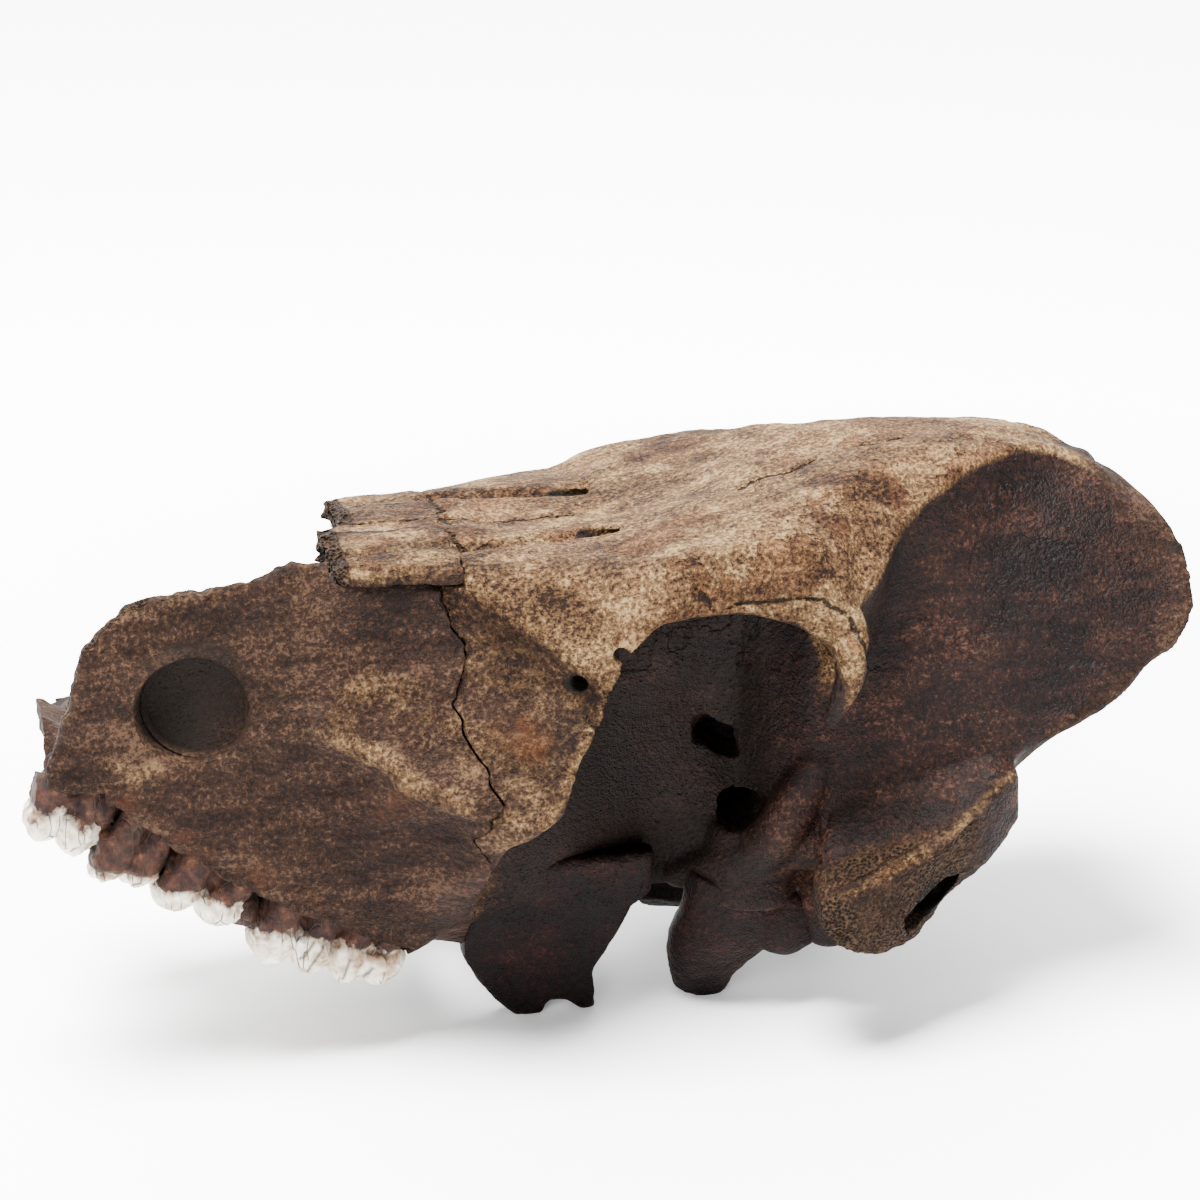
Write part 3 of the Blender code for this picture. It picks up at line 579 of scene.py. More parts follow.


# weathered bone: patchy colour from masks kept on the mesh, grain, fine pits and cracks; a last tint darkens
# it all, as painted shade on the pieces of the base
def boneMaterial(name, stain, dull):
    look = boneFinish
    material, tree, shader, coords = newMaterial(name)
    patch = noiseAt(tree, coords, look["patches"], 6, 0.68)
    grain = noiseAt(tree, coords, look["grains"], 2, 0.75)
    streak = noiseAt(tree, coords, look["streaks"], 4, 0.62, (0.28, 1.0, 1.4))
    tone = plus(tree, times(tree, patch, 0.34), plus(tree, times(tree, grain, 0.42),
                                                     times(tree, streak, 0.24)))

    def shades(key, low, high):
        return rampOf(tree, tone, [low + (high - low) / 3 * k for k in range(4)], look[key])

    edge = swayOf(tree, noiseAt(tree, coords, look["edges"], 4, 0.7), 1.5)
    paleShare = grade(tree, plus(tree, maskOf(tree, "pale"), edge), 0.25, 0.75)
    darkShare = grade(tree, plus(tree, maskOf(tree, "dark"), times(tree, edge, 0.45)), 0.3, 0.7)
    colour = blendOf(tree, paleShare, shades("brown", 0.42, 0.585), shades("pale", 0.42, 0.585))
    # dark colours laid by the dark mask: darker bone, and painted shade where the masks mark hollows, inner
    # walls and undersides
    colour = blendOf(tree, darkShare, colour, shades("dark", 0.42, 0.62))
    # rusty stain
    rust = grade(tree, plus(tree, maskOf(tree, "rust"), edge), 0.45, 0.95, 0.0, 0.7)
    colour = blendOf(tree, rust, colour, look["rust"])
    # grey-green and pinkish clouds over the bone
    cloud = noiseAt(tree, coords, look["clouds"], 3, 0.55)
    green = grade(tree, cloud, 0.52, 0.66, 0.0, 0.30)
    colour = blendOf(tree, green, colour, look["green"], "SOFT_LIGHT")
    pink = grade(tree, cloud, 0.47, 0.36, 0.0, 0.35)
    colour = blendOf(tree, pink, colour, look["pink"], "SOFT_LIGHT")
    # worn patches with a clear edge, where the outer skin of the bone is gone
    bare = grade(tree, noiseAt(tree, coords, look["wornPatches"], 5, 0.62), 0.535, 0.555)
    worn = times(tree, bare, paleShare)
    colour = blendOf(tree, times(tree, worn, 0.85), colour, look["worn"], "MULTIPLY")
    # open pits
    pit = grade(tree, cellsAt(tree, coords, look["pores"], "F1"), 0.12, 0.30, 1.0, 0.0)
    field = grade(tree, noiseAt(tree, coords, look["pitFields"], 1, 0.5), 0.46, 0.62)
    pitted = times(tree, pit, field)
    colour = blendOf(tree, times(tree, pitted, 0.62), colour, look["pit"])
    # spongy broken bone
    cells = cellsAt(tree, coords, look["cells"], "F1")
    spongeColour = rampOf(tree, cells, (0.20, 0.38, 0.56, 0.80), look["spongy"])
    spongy = grade(tree, plus(tree, maskOf(tree, "spongy"), times(tree, edge, 0.5)), 0.35, 0.6)
    colour = blendOf(tree, spongy, colour, spongeColour)
    # cracks: a line where the kept way to the crack falls under its width
    wobble = swayOf(tree, noiseAt(tree, coords, look["wobbles"], 1, 0.6), 1.1)
    crack = grade(tree, plus(tree, maskOf(tree, "crack"), wobble), 0.30, 0.62, 1.0, 0.0)
    colour = blendOf(tree, times(tree, crack, 0.94), colour, look["crack"])
    # painted shade: openings and deep hollows filled with the near-black crack colour
    colour = blendOf(tree, maskOf(tree, "hole"), colour, look["crack"])
    # last tint over all of the bone: even on roof and face, painted shade on the base pieces underneath
    colour = blendOf(tree, 1.0, colour, look[stain], "MULTIPLY")
    tree.links.new(colour, shader.inputs["Base Color"])
    rough = plus(tree, grade(tree, darkShare, 0.0, 1.0, dull, 0.56), swayOf(tree, grain, 0.25))
    tree.links.new(rough, shader.inputs["Roughness"])
    shader.inputs["Specular IOR Level"].default_value = look["shine"]
    height = plus(tree, times(tree, grain, 0.5), times(tree, streak, 0.35))
    for part, deep in ((pitted, 0.45), (worn, 0.35), (crack, 0.9)):
        height = minus(tree, height, times(tree, part, deep))
    height = plus(tree, height, times(tree, times(tree, cells, spongy), 1.6))
    tree.links.new(bumpOf(tree, height, look["bump"], look["bumpDepth"]), shader.inputs["Normal"])
    return material


toothFinish = {
    "enamel": ((0.10, 0.060, 0.032), (0.24, 0.185, 0.120), (0.38, 0.335, 0.265), (0.52, 0.49, 0.43)),
    "root": ((0.0016, 0.0005, 0.0003), (0.0085, 0.0025, 0.0013), (0.026, 0.0088, 0.0042),
             (0.070, 0.030, 0.016)),
    "stain": (0.085, 0.030, 0.009),
    "crack": (0.02, 0.011, 0.007),
    # how many to a metre
    "crackFields": 150, "stains": 170, "hairs": 240, "tones": 260, "edges": 300, "rootTones": 330,
    "grains": 500,
    "shine": 0.16, "bump": 0.6, "bumpDepth": 0.0006,
}


# tooth: cream enamel on the crown, reddish brown root above it, dark hair cracks running up the crown
def toothMaterial(name):
    look = toothFinish
    material, tree, shader, coords = newMaterial(name)
    tone = noiseAt(tree, coords, look["tones"], 6, 0.6)
    enamel = rampOf(tree, tone, (0.30, 0.40, 0.50, 0.66), look["enamel"])
    rootTone = noiseAt(tree, coords, look["rootTones"], 7, 0.7)
    root = rampOf(tree, rootTone, (0.30, 0.44, 0.58, 0.72), look["root"])
    line = plus(tree, maskOf(tree, "root"), swayOf(tree, noiseAt(tree, coords, look["edges"], 4, 0.6), 0.45))
    rootShare = grade(tree, line, 0.42, 0.56)
    stain = times(tree, grade(tree, line, 0.16, 0.44, 0.0, 0.75),
                  grade(tree, noiseAt(tree, coords, look["stains"], 3, 0.5), 0.42, 0.60))
    colour = blendOf(tree, stain, enamel, look["stain"])
    colour = blendOf(tree, rootShare, colour, root)
    # hair cracks: edges of cells drawn out along the crown
    turn = node(tree, "ShaderNodeMapping")
    turn.inputs["Scale"].default_value = (1.5, 1.2, 0.30)
    turn.inputs["Rotation"].default_value = (0.0, 0.35, 0.0)
    tree.links.new(coords, turn.inputs["Vector"])
    hair = cellsAt(tree, turn.outputs["Vector"], look["hairs"], "DISTANCE_TO_EDGE")
    crack = times(tree, grade(tree, hair, 0.012, 0.05, 1.0, 0.0),
                  grade(tree, noiseAt(tree, coords, look["crackFields"], 2, 0.5), 0.47, 0.55))
    colour = blendOf(tree, times(tree, crack, 0.9), colour, look["crack"])
    # painted shade between the roots above the crown, and the real splits of the last molar, in the
    # near-black crack colour
    colour = blendOf(tree, maskOf(tree, "hole"), colour, look["crack"])
    tree.links.new(colour, shader.inputs["Base Color"])
    tree.links.new(grade(tree, rootShare, 0.0, 1.0, 0.36, 0.8), shader.inputs["Roughness"])
    shader.inputs["Specular IOR Level"].default_value = look["shine"]
    rootGrain = times(tree, noiseAt(tree, coords, look["grains"], 5, 0.65), plus(tree, rootShare, 0.15))
    height = minus(tree, rootGrain, crack)
    tree.links.new(bumpOf(tree, height, look["bump"], look["bumpDepth"]), shader.inputs["Normal"])
    return material


boneOfRoof = boneMaterial("boneOfRoof", "weather", 0.80)
boneOfFace = boneMaterial("boneOfFace", "weather", 0.80)
# the base pieces lie underneath, so their tint is painted shade
boneOfBase = boneMaterial("boneOfBase", "shade", 0.68)
toothEnamel = toothMaterial("toothEnamel")
print("materials ready")


farFromCrack = 9.0  # mm, where no crack shows


# masks, material and smooth faces of a piece, and the bodies that it stands for
def finishPiece(obj, material, nodes, masks):
    for key in ("pale", "dark", "rust", "spongy", "hole"):
        keepMask(obj, key, masks.get(key, np.zeros(len(obj.data.vertices))))
    keepMask(obj, "crack", masks.get("crack", np.full(len(obj.data.vertices), farFromCrack)))
    if "root" in masks:
        keepMask(obj, "root", masks["root"])
    obj.data.materials.clear()
    obj.data.materials.append(material)
    obj.data.polygons.foreach_set("use_smooth", np.ones(len(obj.data.polygons), bool))
    obj.data.update()
    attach(obj, "root")
    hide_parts(*nodes)
    print(obj.name, len(obj.data.polygons), "faces")


craniumLook = {
    "voxel": 0.95, "rounds": 7,
    "waves": 0.55,       # height of the slow unevenness, mm
    "grain": 0.16,       # height of the fine unevenness, mm
    "sponge": 1.1,       # depth of the broken spongy bone, mm
    "crestMid": 118.0, "crestSweep": 15.5,
}

# openings of one side: path with y outwards, radii, flatness; then height, size and seed of an uneven rim
craniumOpenings = {
    "lacrimalLow": (((-20, 54, 91), (-17, 46, 92.5), (-9, 34, 94)), (2.6, 2.2, 1.8), 1.0, None),
    "lacrimalHigh": (((-9, 54, 99), (-6.5, 46, 99.7), (0, 37, 100)), (2.2, 1.9, 1.5), 1.0, None),
    "supraorbital": (((-13, 15.2, 119.6), (-4, 15, 117.4), (8, 16, 112)), (1.3, 2.4, 1.8), 1.1, None),
    "opticHole": (((22, 26, 67), (24.4, 14, 65.2), (29, 5, 63)), (4.6, 3.8, 3.0), 1.45, (1.3, 3.6, 31)),
    "roundHole": (((27, 30, 51), (29.5, 14, 50.1), (33, 5, 50)), (5.4, 4.8, 4), 1.0, (1.4, 4.0, 37)),
    "earSlot": (((58.5, 62, 33.5), (64, 56, 37.2), (71.5, 47, 41.5)), (2.6, 2.9, 1.6), 1.9, (0.7, 3.0, 41)),
}

# cracks over the orbit are read in side view (x, z), those of the roof from above (x, y)
orbitCracks = [
    [(10.4, 113.8), (12.0, 111.4), (13.9, 108.4)],
    [(17.4, 109.0), (20.1, 109.9), (25.1, 109.9), (29.3, 109.8), (33.9, 109.8), (38.6, 109.0), (42.8, 106.9),
     (45.2, 102.9), (47.7, 98.4), (48.8, 95.5)],
    [(-14.3, 85.5), (-12.0, 81.7), (-13.8, 77.9)],
]
roofCracks = [
    [(-38, -9), (-36.5, -11), (-37.8, -14), (-34.9, -17), (-38.5, -20.5), (-38, -28)],
    [(-36.2, -3), (-38.5, 2), (-35.9, 6), (-37.6, 12), (-36, 17), (-38, 26)],
    [(-38, 0.3), (-30, -0.6), (-22, -0.2), (-14, 0.5), (-6, 0.2)],
    [(30, -12), (36, -9), (44, -9.5), (50, -6)],
    [(58, -4), (66, -6), (72, -4.5)],
]


# way to the nearest crack, with a fine wander so that no crack runs straight
def wayToCracks(p):
    wander = np.stack([cloudNoise(p, 2.2, 61), cloudNoise(p, 2.2, 67)], 1) * 0.45
    side, top = p[:, [0, 2]] + wander, p[:, :2] + wander
    near = np.min([wayTo(side, c) for c in orbitCracks], axis=0) + farFromCrack * (p[:, 1] > -38)
    above = np.min([wayTo(top, c) for c in roofCracks], axis=0) + farFromCrack * (p[:, 2] < 108)
    return np.minimum(near, above)


# rings through the cranium lines, closed across the midline, and bars and eggs, all under one skin;
# then relief along the normals, and the openings cut
def makeCranium():
    look = craniumLook
    stations = np.concatenate([np.arange(-48, 116, 1.0), [116.5, look["crestMid"]]])
    half = np.stack([curveThrough(k, stations) for k in craniumLines.values()], 1)
    flip = half[:, 1:-1][:, ::-1] * (-1, 1)
    corners = np.concatenate([half, flip], 1)
    ring = ringThrough(corners, 8)
    y, z = ring[..., 0], ring[..., 1]
    x = np.repeat(stations[:, None], ring.shape[1], 1)
    # the rear rings bow back: x grows with the sine of the width, less where the ring is low
    back = np.clip((x - 95) / (look["crestMid"] - 95), 0, 1)
    low = np.clip((97 - z) / 16, 0, 1)
    bow = np.sin(np.minimum(np.abs(y) / 31, 1.15) * np.pi / 2)
    x = x + back * look["crestSweep"] * bow * (1 - 0.65 * low)
    skins = [skinOf(np.stack([x, y, z], 2))]
    for s in (-1, 1):
        skins.append(bar([(38, 42 * s, 110), (45, 48.5 * s, 101), (45.3, 50 * s, 93), (43, 50.3 * s, 86),
                          (40, 50.3 * s, 80.5)], (6, 4.2, 3.2, 2.4, 1.3)))
        skins.append(bar([(13, 16 * s, 31), (21, 24 * s, 35), (29, 31 * s, 41), (36, 35.5 * s, 52),
                          (43, 36 * s, 66)], (3, 5, 6, 6, 4)))
        skins.append(egg((84, 14 * s, 42), (10, 8.5, 12), -25))
        skins.append(bar([(29, 25 * s, 28), (31, 24 * s, 46)], (12, 10)))
        skins.append(egg((49, 30 * s, 27.5), (9.5, 9, 12.5), 10))
        skins.append(zygomaticRoot(s))
    skins.append(bar([(62, 28, 30), (64, 28, 48)], (8, 9)))
    obj = meshObject("craniumBone", skins)
    growSkin(obj, look["voxel"], look["rounds"])
    print("cranium skin", len(obj.data.vertices))

    p, n = readPoints(obj), readNormals(obj)
    mirror = np.where(p[:, 1:2] > 0, p * (1, -1, 1), p)
    m = masksOfCranium(mirror, p)
    lift = layeredNoise(p, 17, 3, 3) * look["waves"] * (1 - 0.5 * m["dark"])
    lift += layeredNoise(p, 3.2, 2, 8) * look["grain"] * (1 - 0.6 * m["dark"])
    # pits on the pale roof
    lift -= np.clip(0.42 - cellNoise(p, 3.6, 11), 0, 1) * 1.1 * m["pale"] * (cloudNoise(p, 14, 6) > 0)
    # grooves from the supraorbital foramina forward
    groove = wayTo(mirror, [(-1, -15, 117.6), (-12, -15.6, 118), (-36, -17.5, 119)])
    lift -= 2.3 * bell(groove, 2.3) * np.clip((4 - mirror[:, 0]) / 4, 0, 1)
    lift += 0.7 * bell(wayTo(mirror, temporalRidge), 2.2) + 0.6 * bell(wayTo(mirror, orbitRim), 2.4)
    lift += 0.9 * bell(wayTo(mirror, crestRim), 3)
    lift -= (1.3 - cellNoise(p, 2.6, 21) * 1.5) * look["sponge"] * m["spongy"]
    for centre, wide, deep in (((-17.1, -46, 92.5), 5, 1.3), ((-6.5, -46, 99.7), 4, 1.0),
                               ((-29, -45, 74), 7, 2.2),
                               ((-33, -38, 95), 9, 1.8), ((70, -33, 100), 16, 1.0),
                               ((-31, -40, 104), 5, 1.0)):
        lift -= deep * bell(np.linalg.norm(mirror - centre, axis=1), wide)
    lift += 1.1 * bell(wayTo(mirror, np.array(overhang) + (0.5, 0, 1.6)), 2.6)
    lift -= 1.7 * bell(wayTo(mirror, np.array(overhang) + (-2.0, -0.5, -5.5)), 4.2)
    lift -= 0.7 * bell(wayToCracks(p), 0.8)
    p = p + n * lift[:, None]
    writePoints(obj, p)

    canal = bar([(58, 0, 71), (64, 0, 67.5), (112, 0, 40)], (6.3, 10.5, 10.5))
    cutters = [seamWall("seamFront", 0.12, -90, -20, 112.6), jointWall("nasalJoint", -38, 0.08, -75),
               meshObject("passage", [egg((-42, 0, 84), (40, 22, 23))]), meshObject("foramenMagnum", [canal])]
    for s in (-1, 1):
        for name, (path, radii, flat, ragged) in craniumOpenings.items():
            skin = bar(np.array(path) * (1, s, 1), radii, flat)
            cutters.append(meshObject(name, [uneven(skin, *ragged) if ragged else skin]))
    carve(obj, cutters)
    p = readPoints(obj)
    mirror = np.where(p[:, 1:2] > 0, p * (1, -1, 1), p)
    m = masksOfCranium(mirror, p)
    finishPiece(obj, boneOfRoof, ["cranium"], m)


# wedge of the broken arch: rings of four lines from the ear opening forward
def zygomaticRoot(s):
    upper = ((37, 61, 39), (40, 61.5, 42), (47.7, 60, 44.4), (56, 59, 48), (65, 57, 51), (74.5, 54, 57),
             (83, 50, 61.7), (89, 46, 62))
    lower = ((37, 61, 34), (40, 62, 30), (50.3, 61, 26.6), (57, 59, 27.3), (64, 56, 30.6), (69.3, 54, 35.9),
             (78.4, 52, 41), (89, 48, 52))
    inner = ((37, 50, 37), (40, 46, 36), (50, 40, 33), (66, 36, 36), (78, 35, 45), (89, 36, 55))
    roof = ((37, 52, 43), (40, 46, 50), (50, 38, 58), (66, 37, 62), (78, 37, 66), (89, 36, 68))
    x = np.arange(37, 89.5, 1.5)
    yz = np.stack([curveThrough(k, x) for k in (roof, upper, lower, inner)], 1)
    yz[..., 0] *= s
    ring = ringThrough(yz, 8, 0.75)
    return skinOf(np.concatenate([np.repeat(x[:, None], ring.shape[1], 1)[..., None], ring], 2))


# masks from side-view outlines and ways to the ridges, softened over a few millimetres; the dark mask is
# partly darker bone and partly painted shade
def masksOfCranium(q, p):
    way = insideOf(q, darkSide)
    # painted shade: the underside, low down behind the front of the orbit, is darkened
    under = np.clip((58 - q[:, 2]) / 8, 0, 1) * (q[:, 0] > -30)
    dark = np.maximum(np.clip(0.5 - way / 3.2, 0, 1), under)
    # painted shade on the inner walls towards the midline
    inner = np.clip((31 - np.abs(q[:, 1])) / 6, 0, 1) * (q[:, 2] < 104) * (q[:, 0] < 48)
    dark = np.maximum(dark, inner)
    crest = bell(wayTo(q, crestRim), 3.5)
    behind = (q[:, 0] > 112 + 0.25 * np.abs(q[:, 1])) & (q[:, 2] < 118)
    dark = np.where(behind, 0.55, dark) * (1 - 0.45 * crest)
    zygo = wayTo(q, zygomaticEdge)
    outer = np.clip((np.abs(q[:, 1]) - 50) / 4, 0, 1) * (q[:, 0] > 34) * (q[:, 2] < 64)
    dark = dark * (1 - 0.75 * np.maximum(bell(zygo, 3.0), outer))
    roof = np.clip(0.5 + insideOf(q, paleBelow) / 3.0, 0, 1)
    roof = roof * np.clip((118 - q[:, 0]) / 6, 0, 1) * (q[:, 2] > 84)
    pale = np.maximum(roof, bell(wayTo(q, orbitRim), 3.0)) * 0.95
    pale = np.maximum(pale, 0.62 * bell(zygo, 2.0))
    pale = np.maximum(pale, 0.26 * outer)
    pale = np.maximum(pale, 0.55 * bell(wayTo(q, [(-60, -40, 77), (-38, -49.5, 66.6), (-24, -54, 64)]), 4))
    pale = np.maximum(pale, 0.34 * (q[:, 0] < -8))
    strip = outer * np.clip((zygo - 1.2) / 1.5, 0, 1)
    end = bell(np.linalg.norm(q - (39, -61, 36), axis=1), 8)
    spongy = np.clip(np.maximum(strip * 0.50, end), 0, 1)
    rust = 0.9 * bell(np.linalg.norm(q - (-28, -48, 82), axis=1), 9)
    rust = rust + 0.5 * bell(np.linalg.norm(q - (-35, -42, 90), axis=1), 8)
    crack = wayToCracks(p)
    # painted shade inside the openings of the cranium
    hole = np.zeros(len(q))
    for a, b, r in (((-17, -44, 92.5), (-9, -34, 94), 2.6), ((-6.5, -43.5, 99.7), (0, -37, 100), 2.3),
                    ((-7, -15, 117.0), (7, -16, 112), 2.6), ((24.4, -15, 64.7), (29, -5, 63), 5.2),
                    ((29.5, -15, 50.1), (33, -5, 50), 5.6), ((63, -56, 37.3), (69, -44, 39), 4.2)):
        hole = np.maximum(hole, np.clip((r + 0.5 - wayTo(q, (a, b))) / 0.8, 0, 1))
    # painted shade on the deep inner walls of the orbit
    deep = np.clip((40 - np.abs(q[:, 1])) / 12, 0, 1) * (q[:, 2] < 104) * np.clip((38 - q[:, 0]) / 6, 0, 1)
    hole = np.maximum(hole, 0.62 * deep * np.clip(-way / 3, 0, 1))
    return {"dark": dark, "pale": pale, "spongy": spongy, "rust": rust, "crack": crack, "hole": hole}


maxillaLook = {
    "voxelNear": 0.62, "voxelFar": 0.85, "rounds": 9,
    "waves": 0.5, "grain": 0.26,
    "edge": 0.9,         # raggedness of the broken rims, mm
    "foramen": (-99.3, 88.9, 12.6, 12.0),  # infraorbital opening: centre x and z, half length, half height
}
brokenRim = ((-131, -26, 74), (-130, -26, 82), (-126, -25, 89), (-124, -24, 97), (-121, -24, 104),
             (-115, -23, 109), (-107.5, -22, 112.5), (-98, -22, 113.5), (-89, -22, 114.3), (-81, -22, 115.3),
             (-75, -22, 116.8), (-66, -22, 117.2))
socketMargin = ((-130, -28.5, 74), (-120.6, -29, 72), (-109.8, -30, 62), (-95, -31.5, 51), (-83, -32.5, 43),
                (-68, -32.5, 33), (-56, -31.5, 27))
facialRidge = ((-72, -37, 85.4), (-66, -39, 81), (-60, -41, 77.5), (-51.7, -44.5, 71.6), (-42, -48.6, 67.6))


# rings through the maxilla lines from snout to cheek (s is -1 on the left), relief, cuts to the seams
def makeMaxilla(name, s, slotNodes):
    look = maxillaLook
    x = np.concatenate([[-131, -130, -128.5], np.arange(-127.5, -32, 1.0)])
    corners = np.stack([curveThrough(k, x) for k in maxillaLines.values()], 1)
    corners[..., 0] = np.maximum(corners[..., 0], -3)
    corners[..., 0] *= s
    ring = ringThrough(corners, 8, 0.5)
    skins = [skinOf(np.concatenate([np.repeat(x[:, None], ring.shape[1], 1)[..., None], ring], 2))]
    skins.append(egg((-122.5, 22.5, 67), (7, 6, 7.5)) if s > 0 else egg((-97, -24.2, 88), (25, 5.4, 17)))
    obj = meshObject(name, skins)
    growSkin(obj, look["voxelNear"] if s < 0 else look["voxelFar"], look["rounds"] if s < 0 else 5)
    p, n = readPoints(obj), readNormals(obj)
    q = p * (1, -1, 1) if s > 0 else p
    lift = layeredNoise(p, 13, 3, 40) * look["waves"]
    lift = lift + layeredNoise(p * (0.5, 1, 1.3), 2.4, 2, 44) * look["grain"]
    lift += 0.9 * bell(wayTo(q, socketMargin), 2.8) * layeredNoise(p, 3.2, 3, 58)
    rim = wayTo(q, brokenRim)
    lift += look["edge"] * bell(rim, 3.2) * layeredNoise(p, 3.4, 3, 52)
    lift += 1.7 * bell(wayTo(q, facialRidge), 3.2)
    lift += 0.6 * bell(wayTo(q, [(-72, -36.5, 85), (-64, -37.5, 90), (-57, -36.8, 94)]), 3.2)
    for centre, wide, deep in (((-100, -29, 99), 9, 1.4), ((-60, -37, 88), 8, 2.0), ((-50, -42, 60), 9, 1.2),
                               ((-48, -42, 82), 7, 1.6), ((-66, -38, 72), 7, 1.2),
                               ((-88, -31, 92), 8, 0.9), ((-76, -33, 70), 12, 0.8)):
        lift -= deep * bell(np.linalg.norm(q - centre, axis=1), wide)
    # low swellings of the tooth sockets
    for k, tx in enumerate((-131, -125, -118.5, -113, -104.5, -96, -83, -76, -69, -62)):
        foot = 73.5 - (tx + 131) * 0.635
        way = wayTo(q, [(tx, -29, foot), (tx + 3, -31, foot + 10)])
        lift += 0.75 * bell(way, 3.2)
    p = p + n * lift[:, None]
    writePoints(obj, p)
    low, high = sorted((0.15 * s, -9 * s))
    cutters = [block("median", (-150, low, 0), (-20, high, 140)), seamWall("seamRear", -0.12, 20, -30, 150),
               seatSlab("nasalSeat", -0.08, 140, -67.3, -20)]
    low, high = sorted((-1 * s, 14 * s))
    cutters.append(block("choana", (-51, low, 0), (-30, high, 60)))
    if s < 0:
        cx, cz, rx, rz = look["foramen"]
        path = ((cx - 4, -50, cz), (cx, -31, cz), (cx + 1.2, -28, cz), (cx + 2, -24.3, cz - 0.4))
        radii = (rz * 1.15, rz, rz * 0.97, rz * 0.86)
        cutters.append(meshObject("infraorbital", [bar(path, radii, rx / rz, 64)]))
    else:
        cutters.append(slopedBlock("brokenRim", -95, 84, 0, 80, 160, -20, 1))
        cutters.append(block("brokenFront", (-160, 0, 71.5), (-121.5, 60, 140)))
    for tooth, (x0, x1, outer, breadth, tip0, tip1, neck0, neck1, cusps) in teeth.items():
        if tooth + ("_left" if s < 0 else "_right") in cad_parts:
            tilt = -math.degrees(math.atan((neck1 - neck0) / (x1 - x0)))
            cutters.append(slopedBlock("socket", (x0 + x1) / 2, (neck0 + neck1) / 2, 0.15, 34,
                                       (x1 - x0) * 1.15 + 7, tilt, -1))
    carve(obj, cutters)
    p = readPoints(obj)
    q = p * (1, -1, 1) if s > 0 else p
    rim = wayTo(q, brokenRim)
    # painted shade: walls that face in towards the nasal cavity are darkened
    inside = np.clip(0.2 - 1.4 * s * readNormals(obj)[:, 1], 0, 1) * np.clip((34 - np.abs(q[:, 1])) / 4, 0, 1)
    hole = np.zeros(len(p))
    # painted shade: the inside of the infraorbital opening is filled dark
    if s < 0:
        cx, cz, rx, rz = look["foramen"]
        depth = np.clip((28.2 - np.abs(p[:, 1])) / 3.4, 0, 1) * (np.abs(p[:, 1]) > 11.4)
        lean = (30 - np.abs(p[:, 1])) * 0.28
        around = ((p[:, 0] - cx - lean) / (rx * 1.12)) ** 2 + ((p[:, 2] - cz) / (rz * 1.12)) ** 2
        hole = np.clip((1.35 - around) / 0.2, 0, 1) * depth * (readNormals(obj)[:, 1] < 0.35)
    pale = 0.50 * bell(wayTo(q, facialRidge[1:]), 3.6) + 0.28 * bell(rim, 4) \
        + 0.30 * bell(wayTo(q, [(-118, -30, 78), (-100, -31, 77), (-84, -31.5, 80)]), 5) \
        + 0.36 * bell(wayTo(q, [(-60, -36, 95), (-46, -40, 84), (-40, -46, 76)]), 9) \
        + 0.25 * bell(wayTo(q, [(-72, -37, 85), (-56, -37, 95)]), 4)
    # painted shade, darker towards the lower rear of the cheek where it meets the base
    cheekEnd = np.clip((q[:, 0] + 60) / 20, 0, 1) * np.clip((58 - q[:, 2]) / 12, 0, 1)
    front = 0.42 * bell(np.linalg.norm(q - (-121, -27, 88), axis=1), 13)
    spongy = 0.9 * bell(wayTo(q, brokenRim[1:7]), 1.8)
    if s > 0:
        spongy = spongy + 0.9 * bell(np.linalg.norm(p - (-127, 22, 66), axis=1), 7)
    finishPiece(obj, boneOfFace, slotNodes, {
        "pale": pale, "dark": np.clip(inside * (q[:, 2] < 112) + 0.62 * cheekEnd + front, 0, 1),
        "rust": 0.75 * bell(np.linalg.norm(q - (-58, -43, 66), axis=1), 9)
        + 0.5 * bell(wayTo(q, [(-120, -30, 72), (-90, -33, 52), (-66, -33, 38)]), 5),
        "spongy": spongy,
        "hole": hole})


# each tooth: front and rear x, outer edge and breadth across, height of its tips and its neck
# at front and rear, number of cusps
teeth = {
    "premolar_4": (-136.8, -123.3, 28.0, 11.5, 61.5, 54.0, 70.8, 71.3, 2),
    "molar_1": (-122.3, -110.0, 29.0, 13.0, 48.0, 46.0, 68.5, 62.0, 2),
    "molar_2": (-107.5, -89.8, 31.5, 16.5, 39.0, 32.5, 55.5, 46.5, 2),
    "molar_3": (-86.5, -55.3, 33.0, 17.5, 23.5, 14.8, 43.0, 28.0, 4),
}
toothLook = {
    "voxel": 0.34, "voxelFar": 0.5, "rounds": 3, "furrow": 0.32, "wear": 0.22,
    # lobes: x, tip height, half length; then crown height, height of the enamel, run of the roots (x, z)
    "premolar_4": (((-132.6, 60.0, 5.2), (-126.2, 56.0, 5.0)), 9.0, 7.6, (5.0, 12.0)),
    "molar_1": (((-119.3, 49.0, 5.0), (-112.6, 47.0, 5.0)), 6.5, 3.0, (8.5, 15.0)),
    "molar_2": (((-104.6, 41.0, 6.2), (-94.9, 36.0, 6.0)), 8.0, 5.8, (8.5, 13.0)),
    "molar_3": (((-84.0, 26.0, 6.2), (-75.6, 22.4, 5.7), (-67.4, 19.2, 5.4), (-60.0, 17.6, 4.8)), 10.5, 8.4,
                (5.5, 12.0)),
    # splits in the enamel of the last molar, in side view
    "split": ([(-74.6, 31.4), (-77.9, 27.5)], [(-72.5, 30.4), (-76.3, 24.4)],
              [(-66.7, 26.4), (-68.3, 21.0)], [(-61.3, 23.3), (-64.7, 18.1)]),
    # bone and root between neighbouring teeth: x, z, half height
    "between": {"molar_1": (-120.6, 67.2, 6.5), "molar_3": (-89.8, 39.5, 5.5)},
}


